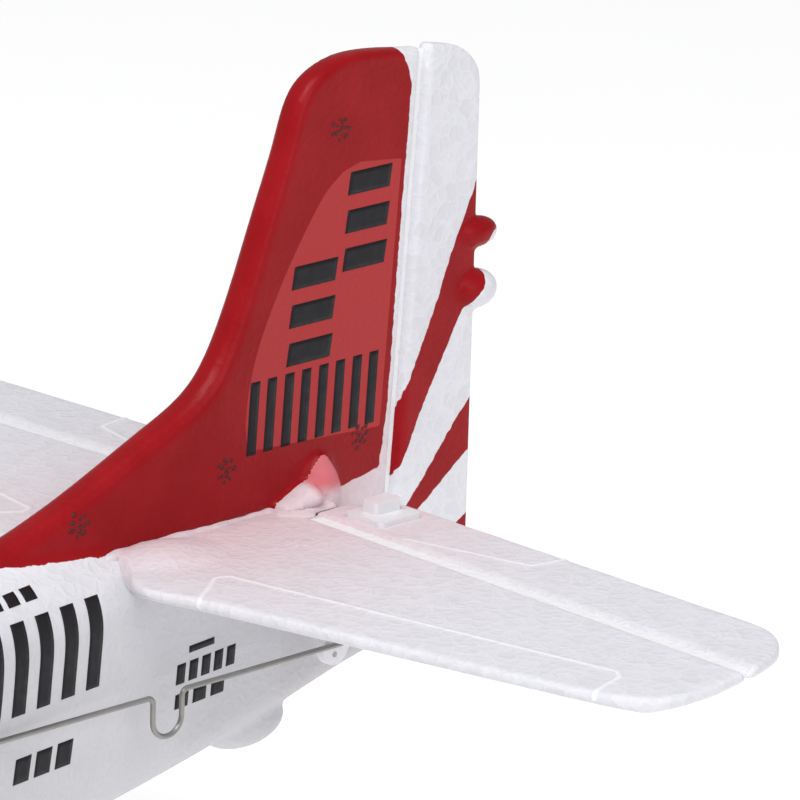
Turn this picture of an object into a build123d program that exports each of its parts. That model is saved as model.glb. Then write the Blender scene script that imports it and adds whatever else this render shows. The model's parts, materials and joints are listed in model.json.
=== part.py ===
from build123d import *
from math import cos, pi, radians, sin, tan
import os

# A 400 mm foam radio-controlled low-wing trainer, built as its own separate pieces.
# +X is the port side, -Y is the nose, +Z is up; the origin is on the ground under the middle of the box.

os.makedirs("parts", exist_ok=True)

# ---------------------------------------------------------------- driving dimensions, millimetres
HALF_SPAN = 200.0
TAIL_Y, TAIL_Z = 137.7, 68.0  # elevator trailing edge on the centre plane; top of the tailplane
THRUST_Z = 56.0  # height of the propeller shaft
WALL = 4.0  # foam wall of the fuselage

# fuselage stations: y, half width, bottom, top, corner radius
BODY = [
    (-120.0, 23.0, 33.0, 79.0, 22.5),
    (-95.0, 23.2, 31.0, 78.5, 21.0),
    (-60.0, 23.0, 29.8, 77.5, 19.0),
    (-20.0, 22.2, 29.6, 76.3, 17.0),
    (20.0, 19.4, 30.0, 74.6, 15.0),
    (50.0, 15.0, 31.2, 72.0, 12.0),
    (79.0, 10.7, 33.3, 69.3, 9.0),
    (95.0, 8.6, 35.6, 68.4, 7.4),
    (112.0, 6.2, 38.4, 67.8, 5.5),
    (128.0, 3.9, 41.8, 67.4, 3.5),
    (150.0, 1.8, 45.4, 67.2, 1.6),
]
CAVITY_END = 58.0
ROD_EXIT = 75.0  # the rods are clear of the foam by here

# fin and rudder
FIN_HALF, FIN_ROUND = 2.6, 2.1
RUDDER_HALF = 1.35
RUDDER_TE = 23.4
RUDDER_LEAN = 0.0708  # the hinge line leans aft by this much per millimetre of height
RUDDER_HINGE_Y = 8.36  # hinge line at the height of the tailplane
RUDDER_AXIS = Vector(0, RUDDER_LEAN, 1).normalized()

# tailplane and elevator
PLATE = 3.0
TIP_X = 86.0
ELEVATOR_AXIS_Y, ELEVATOR_AXIS_Z = TAIL_Y - 12.4, TAIL_Z - PLATE / 2
HINGE_ROOT, HINGE_SWEEP = -11.2, -0.042

# wing
WING_Z, DIHEDRAL = 34.0, tan(radians(8.0))
ROOT_LE, ROOT_TE = -81.0, 5.0
LE_SWEEP, TE_SWEEP = 0.076, -0.1276
TIP_START = 190.0
AILERON_IN, AILERON_OUT = 98.0, 184.0
AILERON_SHARE = 0.24  # aileron chord over wing chord

# control linkage
ROD_RADIUS, ROD_HOLE = 0.35, 0.42
ARM_GAP, ARM_THICK, ROD_GAP = 3.2, 1.2, 0.6
ROD_RISE = ARM_GAP + ARM_THICK + ROD_GAP  # from the top of a servo case to the middle of its rod
ELEVATOR_ROD_X = 13.0
ELEVATOR_REACH = (1.0, -14.1)  # rod hole from the elevator axis, in y and z
ELEVATOR_SERVO_Y = 23.0
RUDDER_ROD_Z, RUDDER_REACH, RUDDER_SERVO_Y = 57.2, 14.0, 18.0
RUDDER_ROD_DIP = 0.5  # the leaning hinge line lowers the rod's front end by nearly this much at full rudder
RUDDER_SERVO_TOP = RUDDER_ROD_Z - ROD_RISE - RUDDER_ROD_DIP
AILERON_LINK_X, AILERON_REACH, AILERON_ROD = 104.0, 9.0, 26.0
SERVO_LENGTH, SERVO_WIDTH, SERVO_HEIGHT, SERVO_END = 16.0, 7.0, 14.0, 4.0

# landing gear
LEG_RADIUS = 0.75
MAIN_X, MAIN_Y, MAIN_WHEEL = 63.0, -30.0, 11.5
NOSE_Y, NOSE_WHEEL = -113.0, 10.0
AXLE_HOLE = 0.8

# drive
SHAFT_RADIUS, SHAFT_HOLE = 0.75, 0.8
GEAR_MODULE, SPUR_TEETH, PINION_TEETH = 0.4, 40, 10
MOTOR_DROP = GEAR_MODULE * (SPUR_TEETH + PINION_TEETH) / 2
GEAR_Y = -143.5


def tail(y, z):
    """A point of the centre plane, from the elevator trailing edge at the tailplane's top."""
    return (TAIL_Y + y, TAIL_Z + z)


def station(y, z):
    """A plane across the fuselage at y, centred at height z and facing the nose."""
    return Plane(origin=(0, y, z), x_dir=(1, 0, 0), z_dir=(0, -1, 0))


def rudder_hinge(z):
    """Where the rudder hinge line is at height z over the tailplane's top."""
    return Vector(0, TAIL_Y + RUDDER_HINGE_Y + RUDDER_LEAN * z, TAIL_Z + z)


def elevator_hinge(x):
    """Where the port hinge line of the tailplane is."""
    return Vector(x, TAIL_Y + HINGE_ROOT + HINGE_SWEEP * x, ELEVATOR_AXIS_Z)


def wing_edges(x):
    """Leading edge and trailing edge of the wing at x."""
    return ROOT_LE + LE_SWEEP * x, ROOT_TE + TE_SWEEP * x


def wing_point(x, share, rise):
    """A point of the wing: share of the chord from the leading edge, rise in chords."""
    front, back = wing_edges(x)
    chord = back - front
    return Vector(x, front + share * chord, WING_Z + DIHEDRAL * x + rise * chord)


def ellipsoid(centre, along, half_length, radius):
    """An ellipsoid of revolution whose long axis, across X, runs along a direction."""
    with BuildPart() as bump:
        with BuildSketch(Plane(origin=centre, x_dir=along, z_dir=(1, 0, 0))):
            Ellipse(half_length, radius)
            Rectangle(3 * half_length, 3 * radius, align=(Align.CENTER, Align.MAX), mode=Mode.SUBTRACT)
        revolve(axis=Axis(centre, along))
    return bump


def groove(start, end, across, half_width, depth, gap=0.16):
    """A double V along a hinge line that leaves the foam hinge's narrow neck free."""
    line = end - start
    with BuildPart() as cutter:
        with BuildSketch(Plane(origin=start, x_dir=across, z_dir=line)):
            Polygon(
                (gap, 0), (half_width, depth), (-half_width, depth),
                (-gap, 0), (-half_width, -depth), (half_width, -depth), align=None,
            )
        extrude(amount=line.length)
    return cutter


def wire(points, radii, radius):
    """A bent steel wire: straight runs joined by arcs."""
    with BuildPart() as bent:
        with BuildLine() as route:
            FilletPolyline(*points, radius=radii)
        with BuildSketch(Plane(origin=route.line @ 0, z_dir=route.line % 0)):
            Circle(radius)
        sweep()
    return bent


# ---------------------------------------------------------------- tailplane and elevator
# the port rim from the root round the tip, from the elevator trailing edge on the centre plane
TAIL_RIM = [
    (0, -41.6), (4.6, -42.4), (9.0, -45.2), (12.4, -47.9), (15.6, -48.8), (19.4, -47.8), (29.9, -45.0),
    (51.8, -40.6), (70.8, -36.6), (77.6, -35.0), (82.2, -33.1), (85.2, -29.8), (TIP_X, -24.4), (85.0, -16.4),
    (83.3, -9.8), (80.9, -5.4), (77.6, -2.4), (73.0, -1.0),
]
RIM_RUN, RIM_RISE = 7.0, 1.7  # the underside rises towards the rim by RIM_RISE over RIM_RUN


def rim_wedge(start, end):
    """What is cut from under the rim, along a line of the plan that runs round the port side."""
    line = Vector(end[0] - start[0], end[1] - start[1], 0)
    underside = Plane(
        origin=(start[0], TAIL_Y + start[1], TAIL_Z - PLATE), x_dir=(-line.Y, line.X, 0), z_dir=line
    )
    with BuildPart() as wedge:
        with BuildSketch(underside):
            Polygon((RIM_RUN, 0), (-RIM_RUN, 2 * RIM_RISE), (-RIM_RUN, -1), (RIM_RUN, -1), align=None)
        extrude(amount=line.length)
    return wedge


with BuildPart() as tail_blank:  # port half, then the starboard half
    with BuildSketch(Plane.XY.offset(TAIL_Z - PLATE)):
        with BuildLine():
            rim = Spline(*[(x, TAIL_Y + y) for x, y in TAIL_RIM])
            Polyline(rim @ 1, (0, TAIL_Y + 1.2), rim @ 0)
        make_face()
    extrude(amount=PLATE)
    for start, end in (((6, -50.6), (84, -34.4)), ((86.6, -36), (86.0, -20)), ((86.4, -23), (81.6, -3))):
        add(rim_wedge(start, end).part, mode=Mode.SUBTRACT)
    mirror(about=Plane.YZ)

with BuildPart() as elevator_taper:  # the underside rises to a thin trailing edge
    with BuildSketch(Plane.YZ):
        Polygon(tail(-11, -3.0), tail(2, -3.0), tail(2, -1.2), align=None)
    extrude(amount=TIP_X + 1, both=True)

HINGE_TOP_HALF = 1.2
tail_grooves = groove(
    elevator_hinge(0), elevator_hinge(TIP_X + 2), (0, -1, 0), HINGE_TOP_HALF * 1.4, PLATE * 0.7
)

with BuildPart() as tail_cut:  # both grooves
    add(tail_grooves.part)
    mirror(tail_grooves.part, about=Plane.YZ)

with BuildPart() as tailplane:
    add(tail_blank.part)
    with BuildSketch(Plane.XY.offset(TAIL_Z - PLATE - 1)):
        behind = [elevator_hinge(x) for x in (0, TIP_X + 2)]
        Polygon(
            (0, behind[0].Y), (behind[1].X, behind[1].Y), (TIP_X + 2, TAIL_Y + 5), (-TIP_X - 2, TAIL_Y + 5),
            (-behind[1].X, behind[1].Y), align=None,
        )
    extrude(amount=PLATE + 2, mode=Mode.SUBTRACT)
    add(tail_cut.part, mode=Mode.SUBTRACT)
tailplane.part.label = "tailplane"
export_step(tailplane.part, "parts/tailplane.step")

ELEVATOR_ROOT = 6.2
JOINER_RADIUS, JOINER_Y = 0.75, -8.6
HORN_X = ELEVATOR_ROD_X - ROD_GAP - ARM_THICK  # inboard face of the horn's blade

with BuildPart() as elevator_joiner:
    with BuildSketch(Plane.YZ):
        with Locations((TAIL_Y + JOINER_Y, ELEVATOR_AXIS_Z)):
            Circle(JOINER_RADIUS)
    extrude(amount=22.0, both=True)
elevator_joiner.part.label = "elevator_joiner"
export_step(elevator_joiner.part, "parts/elevator_joiner.step")

with BuildPart() as elevator_horn:
    with BuildSketch(Plane.YZ.offset(HORN_X)):
        with Locations(tail(-5.6, -3.6)):
            Rectangle(6.4, 1.0)
        with Locations(tail(-12.4, -16.3)):
            Circle(2.25)
        make_hull()
        with Locations(tail(-11.4, -15.6), tail(-12.5, -17.1)):
            Circle(ROD_HOLE, mode=Mode.SUBTRACT)
    extrude(amount=ARM_THICK)
    with BuildSketch(Plane.XY.offset(TAIL_Z - PLATE - 1.0)):  # plate under the elevator
        with Locations((13.4, TAIL_Y - 5.4)):
            RectangleRounded(6.8, 7.4, 0.8)
    extrude(amount=1.0)
    with BuildSketch(Plane.XY.offset(TAIL_Z - PLATE)):  # two posts through the foam
        with Locations((13.4, TAIL_Y - 6.4), (13.4, TAIL_Y - 3.0)):
            Circle(0.9)
    extrude(amount=PLATE)
    with BuildSketch(Plane.XY.offset(TAIL_Z)):  # plate over the elevator
        with Locations((13.4, TAIL_Y - 5.4)):
            RectangleRounded(6.8, 7.4, 0.8)
    extrude(amount=0.8)
    with BuildSketch(Plane.XY.offset(TAIL_Z + 0.8)):  # lug
        with Locations((12.6, TAIL_Y - 5.0)):
            RectangleRounded(2.8, 4.6, 0.5)
    extrude(amount=1.6)
elevator_horn.part.label = "elevator_horn"
export_step(elevator_horn.part, "parts/elevator_horn.step")

with BuildPart() as elevator_port:
    add(tail_blank.part)
    with BuildSketch(Plane.XY.offset(TAIL_Z - PLATE - 1)):
        Polygon(
            (ELEVATOR_ROOT, elevator_hinge(ELEVATOR_ROOT).Y), (behind[1].X, behind[1].Y),
            (TIP_X + 2, TAIL_Y + 2), (11.2, TAIL_Y + 2), (ELEVATOR_ROOT, TAIL_Y - 5.2), align=None,
        )
    extrude(amount=PLATE + 2, mode=Mode.INTERSECT)
    add(tail_cut.part, mode=Mode.SUBTRACT)
    add(elevator_taper.part, mode=Mode.SUBTRACT)
    add(elevator_joiner.part, mode=Mode.SUBTRACT)
with BuildPart() as elevator_starboard:
    mirror(elevator_port.part, about=Plane.YZ)
with BuildPart() as elevator_port_drilled:
    add(elevator_port.part)
    add(elevator_horn.part, mode=Mode.SUBTRACT)
elevator_port_drilled.part.label = "elevator_port"
export_step(elevator_port_drilled.part, "parts/elevator_port.step")
elevator_starboard.part.label = "elevator_starboard"
export_step(elevator_starboard.part, "parts/elevator_starboard.step")

# ---------------------------------------------------------------- fin blank and rudder
with BuildPart() as fin_blank:
    with BuildSketch(Plane.YZ):
        with BuildLine():
            edge = Spline(
                tail(-80, 0.6), tail(-58.8, 4.3), tail(-45.6, 9.1), tail(-33.9, 14.3), tail(-26.0, 18.7),
                tail(-21.7, 25.0), tail(-15.6, 39.7), tail(-12.3, 48.2), tail(-9.4, 54.6),
                tail(-4.2, 57.5), tail(2.0, 58.0), tail(15.0, 57.2),
            )
            Polyline(edge @ 1, tail(15, -18), tail(-80, -18), edge @ 0)
        make_face()
    extrude(amount=FIN_HALF, both=True)
    upper = fin_blank.faces().filter_by(Axis.X).edges().sort_by(SortBy.LENGTH)[-2:]
    fillet(upper, FIN_ROUND)
    with BuildSketch(Plane.XY.offset(TAIL_Z - 30)):  # thins towards the hinge
        Polygon(
            (FIN_HALF, TAIL_Y - 90), (FIN_HALF, TAIL_Y - 24), (RUDDER_HALF, TAIL_Y + 8), (RUDDER_HALF, TAIL_Y + 30),
            (-RUDDER_HALF, TAIL_Y + 30), (-RUDDER_HALF, TAIL_Y + 8), (-FIN_HALF, TAIL_Y - 24),
            (-FIN_HALF, TAIL_Y - 90), align=None,
        )
    extrude(amount=100, mode=Mode.INTERSECT)

rudder_groove = groove(rudder_hinge(-32), rudder_hinge(64), (0, 1, 0), 1.1 * 1.8, RUDDER_HALF * 1.8)
rudder_groove_low = groove(rudder_hinge(-32), rudder_hinge(-2), (0, 1, 0), 1.1 * 2.4, RUDDER_HALF * 2.4)

with BuildPart() as rudder_horn:
    with BuildSketch(Plane(origin=rudder_hinge(RUDDER_ROD_Z - ROD_GAP - ARM_THICK - TAIL_Z),
                           x_dir=(-1, 0, 0), z_dir=RUDDER_AXIS)):
        with Locations((0.5, -6.0)):
            Rectangle(1.4, 5.0)
        with Locations((RUDDER_REACH, 0)):
            Circle(1.6)
        make_hull()
        with Locations((RUDDER_REACH, 0)):
            Circle(ROD_HOLE, mode=Mode.SUBTRACT)
    extrude(amount=ARM_THICK)
rudder_horn.part.label = "rudder_horn"
export_step(rudder_horn.part, "parts/rudder_horn.step")

with BuildPart() as rudder:
    with BuildSketch(Plane.YZ):
        with BuildLine():
            hinge_low, hinge_high = rudder_hinge(-21.6), rudder_hinge(57.3)
            top = Spline(
                (hinge_high.Y, hinge_high.Z), tail(16.1, 56.8), tail(19.8, 55.7), tail(22.6, 53.2),
                tail(RUDDER_TE, 49.5), tangents=((1, -0.05), (0, -1)),
            )
            back = Line(top @ 1, tail(RUDDER_TE, -11.0))
            foot = Spline(
                back @ 1, tail(20.8, -17.6), tail(14.0, -20.9), (hinge_low.Y, hinge_low.Z),
                tangents=((0, -1), (-1, -0.05)),
            )
            Line(foot @ 1, top @ 0)
        make_face()
    extrude(amount=RUDDER_HALF, both=True)
    with BuildSketch(Plane.XY.offset(TAIL_Z - 30)):  # thins towards the trailing edge
        Polygon(
            (RUDDER_HALF, TAIL_Y), (RUDDER_HALF, TAIL_Y + 11), (0.6, TAIL_Y + 24), (-0.6, TAIL_Y + 24),
            (-RUDDER_HALF, TAIL_Y + 11), (-RUDDER_HALF, TAIL_Y), align=None,
        )
    extrude(amount=100, mode=Mode.INTERSECT)
    add(ellipsoid((0, *tail(23.7, 30.4)), (0, 1, 0), 3.6, 2.1).part)  # upper light
    add(ellipsoid((0, *tail(23.6, 22.7)), (0, 1, 0), 3.7, 2.7).part)  # lower light
    add(rudder_groove.part, mode=Mode.SUBTRACT)
    add(rudder_horn.part, mode=Mode.SUBTRACT)
rudder.part.label = "rudder"
export_step(rudder.part, "parts/rudder.step")

# ---------------------------------------------------------------- wing
AIRFOIL_TOP = [(0.02, 0.030), (0.10, 0.064), (0.30, 0.088), (0.52, 0.076), (0.76, 0.041), (1.0, 0.008)]
AIRFOIL_UNDER = [(1.0, -0.004), (0.76, -0.018), (0.45, -0.031), (0.20, -0.034), (0.06, -0.025)]


def wing_section(x, squeeze=1.0, inset=0.0):
    """The aerofoil at x; the tip sections are squeezed in thickness and inset in chord."""
    front, back = wing_edges(x)
    chord = back - front - 2 * inset
    level = WING_Z + DIHEDRAL * x

    def at(share, rise):
        return (front + inset + share * chord, level + rise * squeeze * chord)

    with BuildSketch(Plane.YZ.offset(x)) as section:
        with BuildLine():
            skin = Spline(*[at(*p) for p in AIRFOIL_UNDER], at(0, 0), *[at(*p) for p in AIRFOIL_TOP])
            Line(skin @ 1, skin @ 0)
        make_face()
    return section.sketch.face()


with BuildPart() as wing_blank:
    loft(sections=[wing_section(0), wing_section(TIP_START)])
    loft(sections=[wing_section(TIP_START), wing_section(196.5, 0.9, 1.6), wing_section(HALF_SPAN, 0.45, 6.0)])

hinge_in = wing_point(AILERON_IN, 1 - AILERON_SHARE, 0.0115)
hinge_out = wing_point(AILERON_OUT, 1 - AILERON_SHARE, 0.0115)
aileron_axis = (hinge_out - hinge_in).normalized()
aft = (Vector(0, 1, 0) - aileron_axis * aileron_axis.Y).normalized()
aileron_groove = groove(hinge_in, hinge_out, aft, 1.9, 2.6)

link_point = hinge_in + aileron_axis * ((AILERON_LINK_X - AILERON_IN) / aileron_axis.X)
aileron_link = Plane(origin=link_point, x_dir=aft, z_dir=aileron_axis)  # x aft, y up, z outboard
aileron_servo_top = Plane(
    origin=link_point - aft * AILERON_ROD - aileron_axis * ROD_RISE, x_dir=-aft, z_dir=aileron_axis
)

with BuildPart() as aileron_zone:  # everything behind the hinge line between the aileron's ends
    with BuildSketch(Plane.XY):
        Polygon(
            (hinge_in.X, hinge_in.Y), (hinge_out.X, hinge_out.Y), (hinge_out.X, 20), (hinge_in.X, 20), align=None
        )
    extrude(amount=100)
END_GAP = 0.3

with BuildPart() as aileron_horn_port:
    with BuildSketch(aileron_link.offset(-ROD_GAP - ARM_THICK)):
        with Locations((5.2, -1.2)):
            Rectangle(5.6, 1.6)
        with Locations((0, -AILERON_REACH)):
            Circle(1.5)
        make_hull()
        with Locations((0, -AILERON_REACH)):
            Circle(ROD_HOLE, mode=Mode.SUBTRACT)
    extrude(amount=ARM_THICK)

with BuildPart() as aileron_port:
    add(wing_blank.part)
    add(aileron_zone.part, mode=Mode.INTERSECT)
    with BuildSketch(Plane.XY):  # free ends
        for x in (hinge_in.X, hinge_out.X):
            with Locations((x, -10)):
                Rectangle(2 * END_GAP, 80)
    extrude(amount=100, mode=Mode.SUBTRACT)
    add(aileron_groove.part, mode=Mode.SUBTRACT)
    add(aileron_horn_port.part, mode=Mode.SUBTRACT)

# spar: a flat carbon strip bent to the dihedral
SPAR_Y, SPAR_END, SPAR_HALF = -56.0, 80.0, 1.5
with BuildPart() as wing_spar:
    with BuildSketch(Plane.XZ.offset(-SPAR_Y - 0.5)):
        low, high = WING_Z + 2.2 - SPAR_HALF, WING_Z + 2.2 + SPAR_HALF
        rise = DIHEDRAL * SPAR_END
        Polygon(
            (0, low), (SPAR_END, low + rise), (SPAR_END, high + rise), (0, high),
            (-SPAR_END, high + rise), (-SPAR_END, low + rise), align=None,
        )
    extrude(amount=1.0)
wing_spar.part.label = "wing_spar"
export_step(wing_spar.part, "parts/wing_spar.step")


# ---------------------------------------------------------------- servos, arms and rods
def servo(top):
    """A sub-micro servo: top is the plane of the output, its x axis runs along the case."""
    with BuildPart() as case:
        with BuildSketch(top.offset(-SERVO_HEIGHT)):
            with Locations((SERVO_LENGTH / 2 - SERVO_END, 0)):
                RectangleRounded(SERVO_LENGTH, SERVO_WIDTH, 0.5)
        extrude(amount=SERVO_HEIGHT)
        with BuildSketch(top.offset(-4.0)):
            with Locations((SERVO_LENGTH / 2 - SERVO_END, 0)):
                Rectangle(SERVO_LENGTH + 5.0, SERVO_WIDTH - 1.0)
                with GridLocations(SERVO_LENGTH + 2.6, 1, 2, 1):
                    Circle(0.6, mode=Mode.SUBTRACT)
        extrude(amount=1.0)
        with BuildSketch(top):
            Circle(3.0)
        extrude(amount=0.8)
        with BuildSketch(top.offset(-3.0)):
            Circle(1.05)
        extrude(amount=4.0, mode=Mode.SUBTRACT)
    return case


def servo_arm(top, reach):
    """The arm on a servo's output shaft, with its rod hole at reach."""
    with BuildPart() as arm:
        with BuildSketch(top.offset(-2.6)):
            Circle(1.0)
        extrude(amount=4.0)
        with BuildSketch(top.offset(1.2)):
            Circle(2.2)
        extrude(amount=ARM_GAP + ARM_THICK - 1.2)
        with BuildSketch(top.offset(ARM_GAP)):
            Circle(2.2)
            with Locations(reach):
                Circle(1.3)
            make_hull()
            with Locations(reach):
                Circle(ROD_HOLE, mode=Mode.SUBTRACT)
        extrude(amount=ARM_THICK)
    return arm


ELEVATOR_ROD_Z = ELEVATOR_AXIS_Z + ELEVATOR_REACH[1]
elevator_servo_top = Plane(
    origin=(ELEVATOR_ROD_X - ROD_RISE, ELEVATOR_SERVO_Y, ELEVATOR_AXIS_Z), x_dir=(0, 1, 0), z_dir=(1, 0, 0)
)
elevator_servo = servo(elevator_servo_top)
elevator_servo.part.label = "elevator_servo"
export_step(elevator_servo.part, "parts/elevator_servo.step")
elevator_servo_arm = servo_arm(elevator_servo_top, ELEVATOR_REACH)
elevator_servo_arm.part.label = "elevator_servo_arm"
export_step(elevator_servo_arm.part, "parts/elevator_servo_arm.step")

rudder_servo_top = Plane(origin=(0, RUDDER_SERVO_Y, RUDDER_SERVO_TOP), x_dir=(0, -1, 0), z_dir=(0, 0, 1))
rudder_servo = servo(rudder_servo_top)
rudder_servo.part.label = "rudder_servo"
export_step(rudder_servo.part, "parts/rudder_servo.step")
rudder_servo_arm = servo_arm(rudder_servo_top, (0, -RUDDER_REACH))
rudder_servo_arm.part.label = "rudder_servo_arm"
export_step(rudder_servo_arm.part, "parts/rudder_servo_arm.step")

PIN = 2.4  # how far a rod's end reaches through its arm
BEND_FRONT, BEND_BACK, BEND_DROP = TAIL_Y - 44.7, TAIL_Y - 39.8, 5.6


def rod_route(x, z, front, back, pin_front, pin_back):
    """A rod with a pin at each end and the sagging bend that trims its length."""
    drop = z - BEND_DROP
    points = [
        front + pin_front, front, (x, BEND_FRONT, z), (x, BEND_FRONT, drop), (x, BEND_BACK, drop),
        (x, BEND_BACK, z), back, back + pin_back,
    ]
    return wire(points, [0.6, 0.9, 2.35, 2.35, 0.9, 0.6], ROD_RADIUS)


elevator_pushrod = rod_route(
    ELEVATOR_ROD_X, ELEVATOR_ROD_Z,
    Vector(ELEVATOR_ROD_X, ELEVATOR_SERVO_Y + ELEVATOR_REACH[0], ELEVATOR_ROD_Z),
    Vector(ELEVATOR_ROD_X, ELEVATOR_AXIS_Y + ELEVATOR_REACH[0], ELEVATOR_ROD_Z),
    Vector(-PIN, 0, 0), Vector(-PIN, 0, 0),
)
elevator_pushrod.part.label = "elevator_pushrod"
export_step(elevator_pushrod.part, "parts/elevator_pushrod.step")

rudder_rod_end = rudder_hinge(RUDDER_ROD_Z - TAIL_Z) + Vector(-RUDDER_REACH, 0, 0)
rudder_pushrod = rod_route(
    -RUDDER_REACH, RUDDER_ROD_Z, Vector(-RUDDER_REACH, RUDDER_SERVO_Y, RUDDER_ROD_Z), rudder_rod_end,
    Vector(0, 0, -PIN - RUDDER_ROD_DIP), RUDDER_AXIS * -PIN,
)
rudder_pushrod.part.label = "rudder_pushrod"
export_step(rudder_pushrod.part, "parts/rudder_pushrod.step")

aileron_servo_port = servo(aileron_servo_top)
aileron_servo_arm_port = servo_arm(aileron_servo_top, (0, AILERON_REACH))
aileron_pushrod_port = wire(
    [
        aileron_link.from_local_coords(Vector(-AILERON_ROD, -AILERON_REACH, -PIN)),
        aileron_link.from_local_coords(Vector(-AILERON_ROD, -AILERON_REACH, 0)),
        aileron_link.from_local_coords(Vector(0, -AILERON_REACH, 0)),
        aileron_link.from_local_coords(Vector(0, -AILERON_REACH, -PIN)),
    ],
    [0.6, 0.6], ROD_RADIUS,
)

# ---------------------------------------------------------------- main landing gear
axle = Vector(MAIN_X, MAIN_Y, MAIN_WHEEL)
leg_top = Vector(MAIN_X, MAIN_Y - 3.0, WING_Z + DIHEDRAL * MAIN_X + 2.0)
MAIN_HUB_X = 4.6  # inboard face of the wheel, outboard of the leg
MAIN_WIDTH = 6.0
main_leg_port = wire(
    [leg_top, axle, axle + Vector(MAIN_HUB_X + MAIN_WIDTH + 3.0, 0, 0)], [2.0], LEG_RADIUS
)
with BuildPart() as main_mount_port:  # plastic socket let into the underside of the wing
    with BuildSketch(Plane.XY.offset(leg_top.Z - 5.8)):
        with Locations((MAIN_X, MAIN_Y - 2.6)):
            RectangleRounded(12.0, 16.0, 2.0)
    extrude(amount=5.8)
    add(main_leg_port.part, mode=Mode.SUBTRACT)


def hub(centre, wheel, width):
    """A moulded wheel centre with five holes, turning on an axle along X."""
    with BuildPart() as rim:
        with BuildSketch(Plane.YZ.offset(centre.X - width / 2)):
            with Locations((centre.Y, centre.Z)):
                Circle(0.6 * wheel)
        extrude(amount=width)
        for face in (centre.X - width / 2, centre.X + width / 2 - 0.28 * width):
            with BuildSketch(Plane.YZ.offset(face)):
                with Locations((centre.Y, centre.Z)):
                    Circle(0.5 * wheel)
                    Circle(0.22 * wheel, mode=Mode.SUBTRACT)
            extrude(amount=0.28 * width, mode=Mode.SUBTRACT)
        with BuildSketch(Plane.YZ.offset(centre.X - width)):
            with Locations((centre.Y, centre.Z)):
                Circle(AXLE_HOLE)
                with PolarLocations(0.36 * wheel, 5):
                    Circle(0.08 * wheel)
        extrude(amount=2 * width, mode=Mode.SUBTRACT)
    return rim


def tyre(centre, wheel, width):
    """A soft tyre round the hub."""
    with BuildPart() as ring:
        with BuildSketch(Plane(origin=centre, x_dir=(1, 0, 0), z_dir=(0, -1, 0))):
            with Locations((0, 0.8 * wheel)):
                RectangleRounded(width, 0.4 * wheel, 0.19 * wheel)
            with Locations((0, 0.62 * wheel)):
                Rectangle(0.72 * width, 0.04 * wheel)
        revolve(axis=Axis(centre, (1, 0, 0)))
    return ring


main_centre = axle + Vector(MAIN_HUB_X + MAIN_WIDTH / 2, 0, 0)
main_hub_port = hub(main_centre, MAIN_WHEEL, 0.7 * MAIN_WIDTH)
main_tyre_port = tyre(main_centre, MAIN_WHEEL, MAIN_WIDTH)

with BuildPart() as main_collars:  # one keeper each side of each main wheel
    for side in (1, -1):
        for x in (main_centre.X - 0.35 * MAIN_WIDTH - 1.9, main_centre.X + 0.35 * MAIN_WIDTH + 0.3):
            with BuildSketch(Plane.YZ.offset(side * x + (0 if side > 0 else -1.6))):
                with Locations((MAIN_Y, MAIN_WHEEL)):
                    Circle(1.7)
                    Circle(LEG_RADIUS, mode=Mode.SUBTRACT)
            extrude(amount=1.6)
# ---------------------------------------------------------------- wing panels
WING_SCREW_Y = (-68.0, -6.0)
with BuildPart() as wing_screws:
    for y in WING_SCREW_Y:
        with BuildSketch(Plane.XY.offset(WING_Z - 4.4)):
            with Locations((0, y)):
                Circle(2.0)
        extrude(amount=1.4)
        with BuildSketch(Plane.XY.offset(WING_Z - 3.0)):
            with Locations((0, y)):
                Circle(1.0)
        extrude(amount=13.0)
        with BuildSketch(Plane.XY.offset(WING_Z - 4.4)):
            with Locations((0, y)):
                Rectangle(2.4, 0.5)
                Rectangle(0.5, 2.4)
        extrude(amount=0.7, mode=Mode.SUBTRACT)
wing_screws.part.label = "wing_screws"
export_step(wing_screws.part, "parts/wing_screws.step")

with BuildPart() as wing_port:
    add(wing_blank.part)
    add(aileron_zone.part, mode=Mode.SUBTRACT)
    add(aileron_groove.part, mode=Mode.SUBTRACT)
    add(wing_spar.part, mode=Mode.SUBTRACT)
    with BuildSketch(aileron_servo_top.offset(-SERVO_HEIGHT)):  # servo well, open below
        with Locations((SERVO_LENGTH / 2 - SERVO_END, -SERVO_WIDTH / 2)):
            Rectangle(SERVO_LENGTH + 5.0, 20.0, align=(Align.CENTER, Align.MIN))
    extrude(amount=SERVO_HEIGHT, mode=Mode.SUBTRACT)
    with BuildSketch(aileron_servo_top):  # room for the arm's hub and swing
        Circle(3.4)
        with Locations((0, 6.0)):
            Rectangle(12.0, 12.0)
    extrude(amount=ROD_RISE + 1.0, mode=Mode.SUBTRACT)
    add(main_mount_port.part, mode=Mode.SUBTRACT)
    add(main_leg_port.part, mode=Mode.SUBTRACT)
    with BuildSketch(Plane.XY.offset(WING_Z - 10)):  # screw holes
        for y in WING_SCREW_Y:
            with Locations((0, y)):
                Circle(1.0)
    extrude(amount=30, mode=Mode.SUBTRACT)
    with BuildSketch(Plane.XY.offset(WING_Z - 10)):
        for y in WING_SCREW_Y:
            with Locations((0, y)):
                Circle(2.0)
    extrude(amount=7.0, mode=Mode.SUBTRACT)

# the port pieces and their mirror images
pairs = {
    "wing": wing_port,
    "aileron": aileron_port,
    "aileron_horn": aileron_horn_port,
    "aileron_servo_arm": aileron_servo_arm_port,
    "aileron_pushrod": aileron_pushrod_port,
    "main_hub": main_hub_port,
    "main_tyre": main_tyre_port,
}
for name, piece in pairs.items():
    piece.part.label = name + "_port"
    export_step(piece.part, f"parts/{name}_port.step")
    with BuildPart() as twin:
        mirror(piece.part, about=Plane.YZ)
    twin.part.label = name + "_starboard"
    export_step(twin.part, f"parts/{name}_starboard.step")

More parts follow.
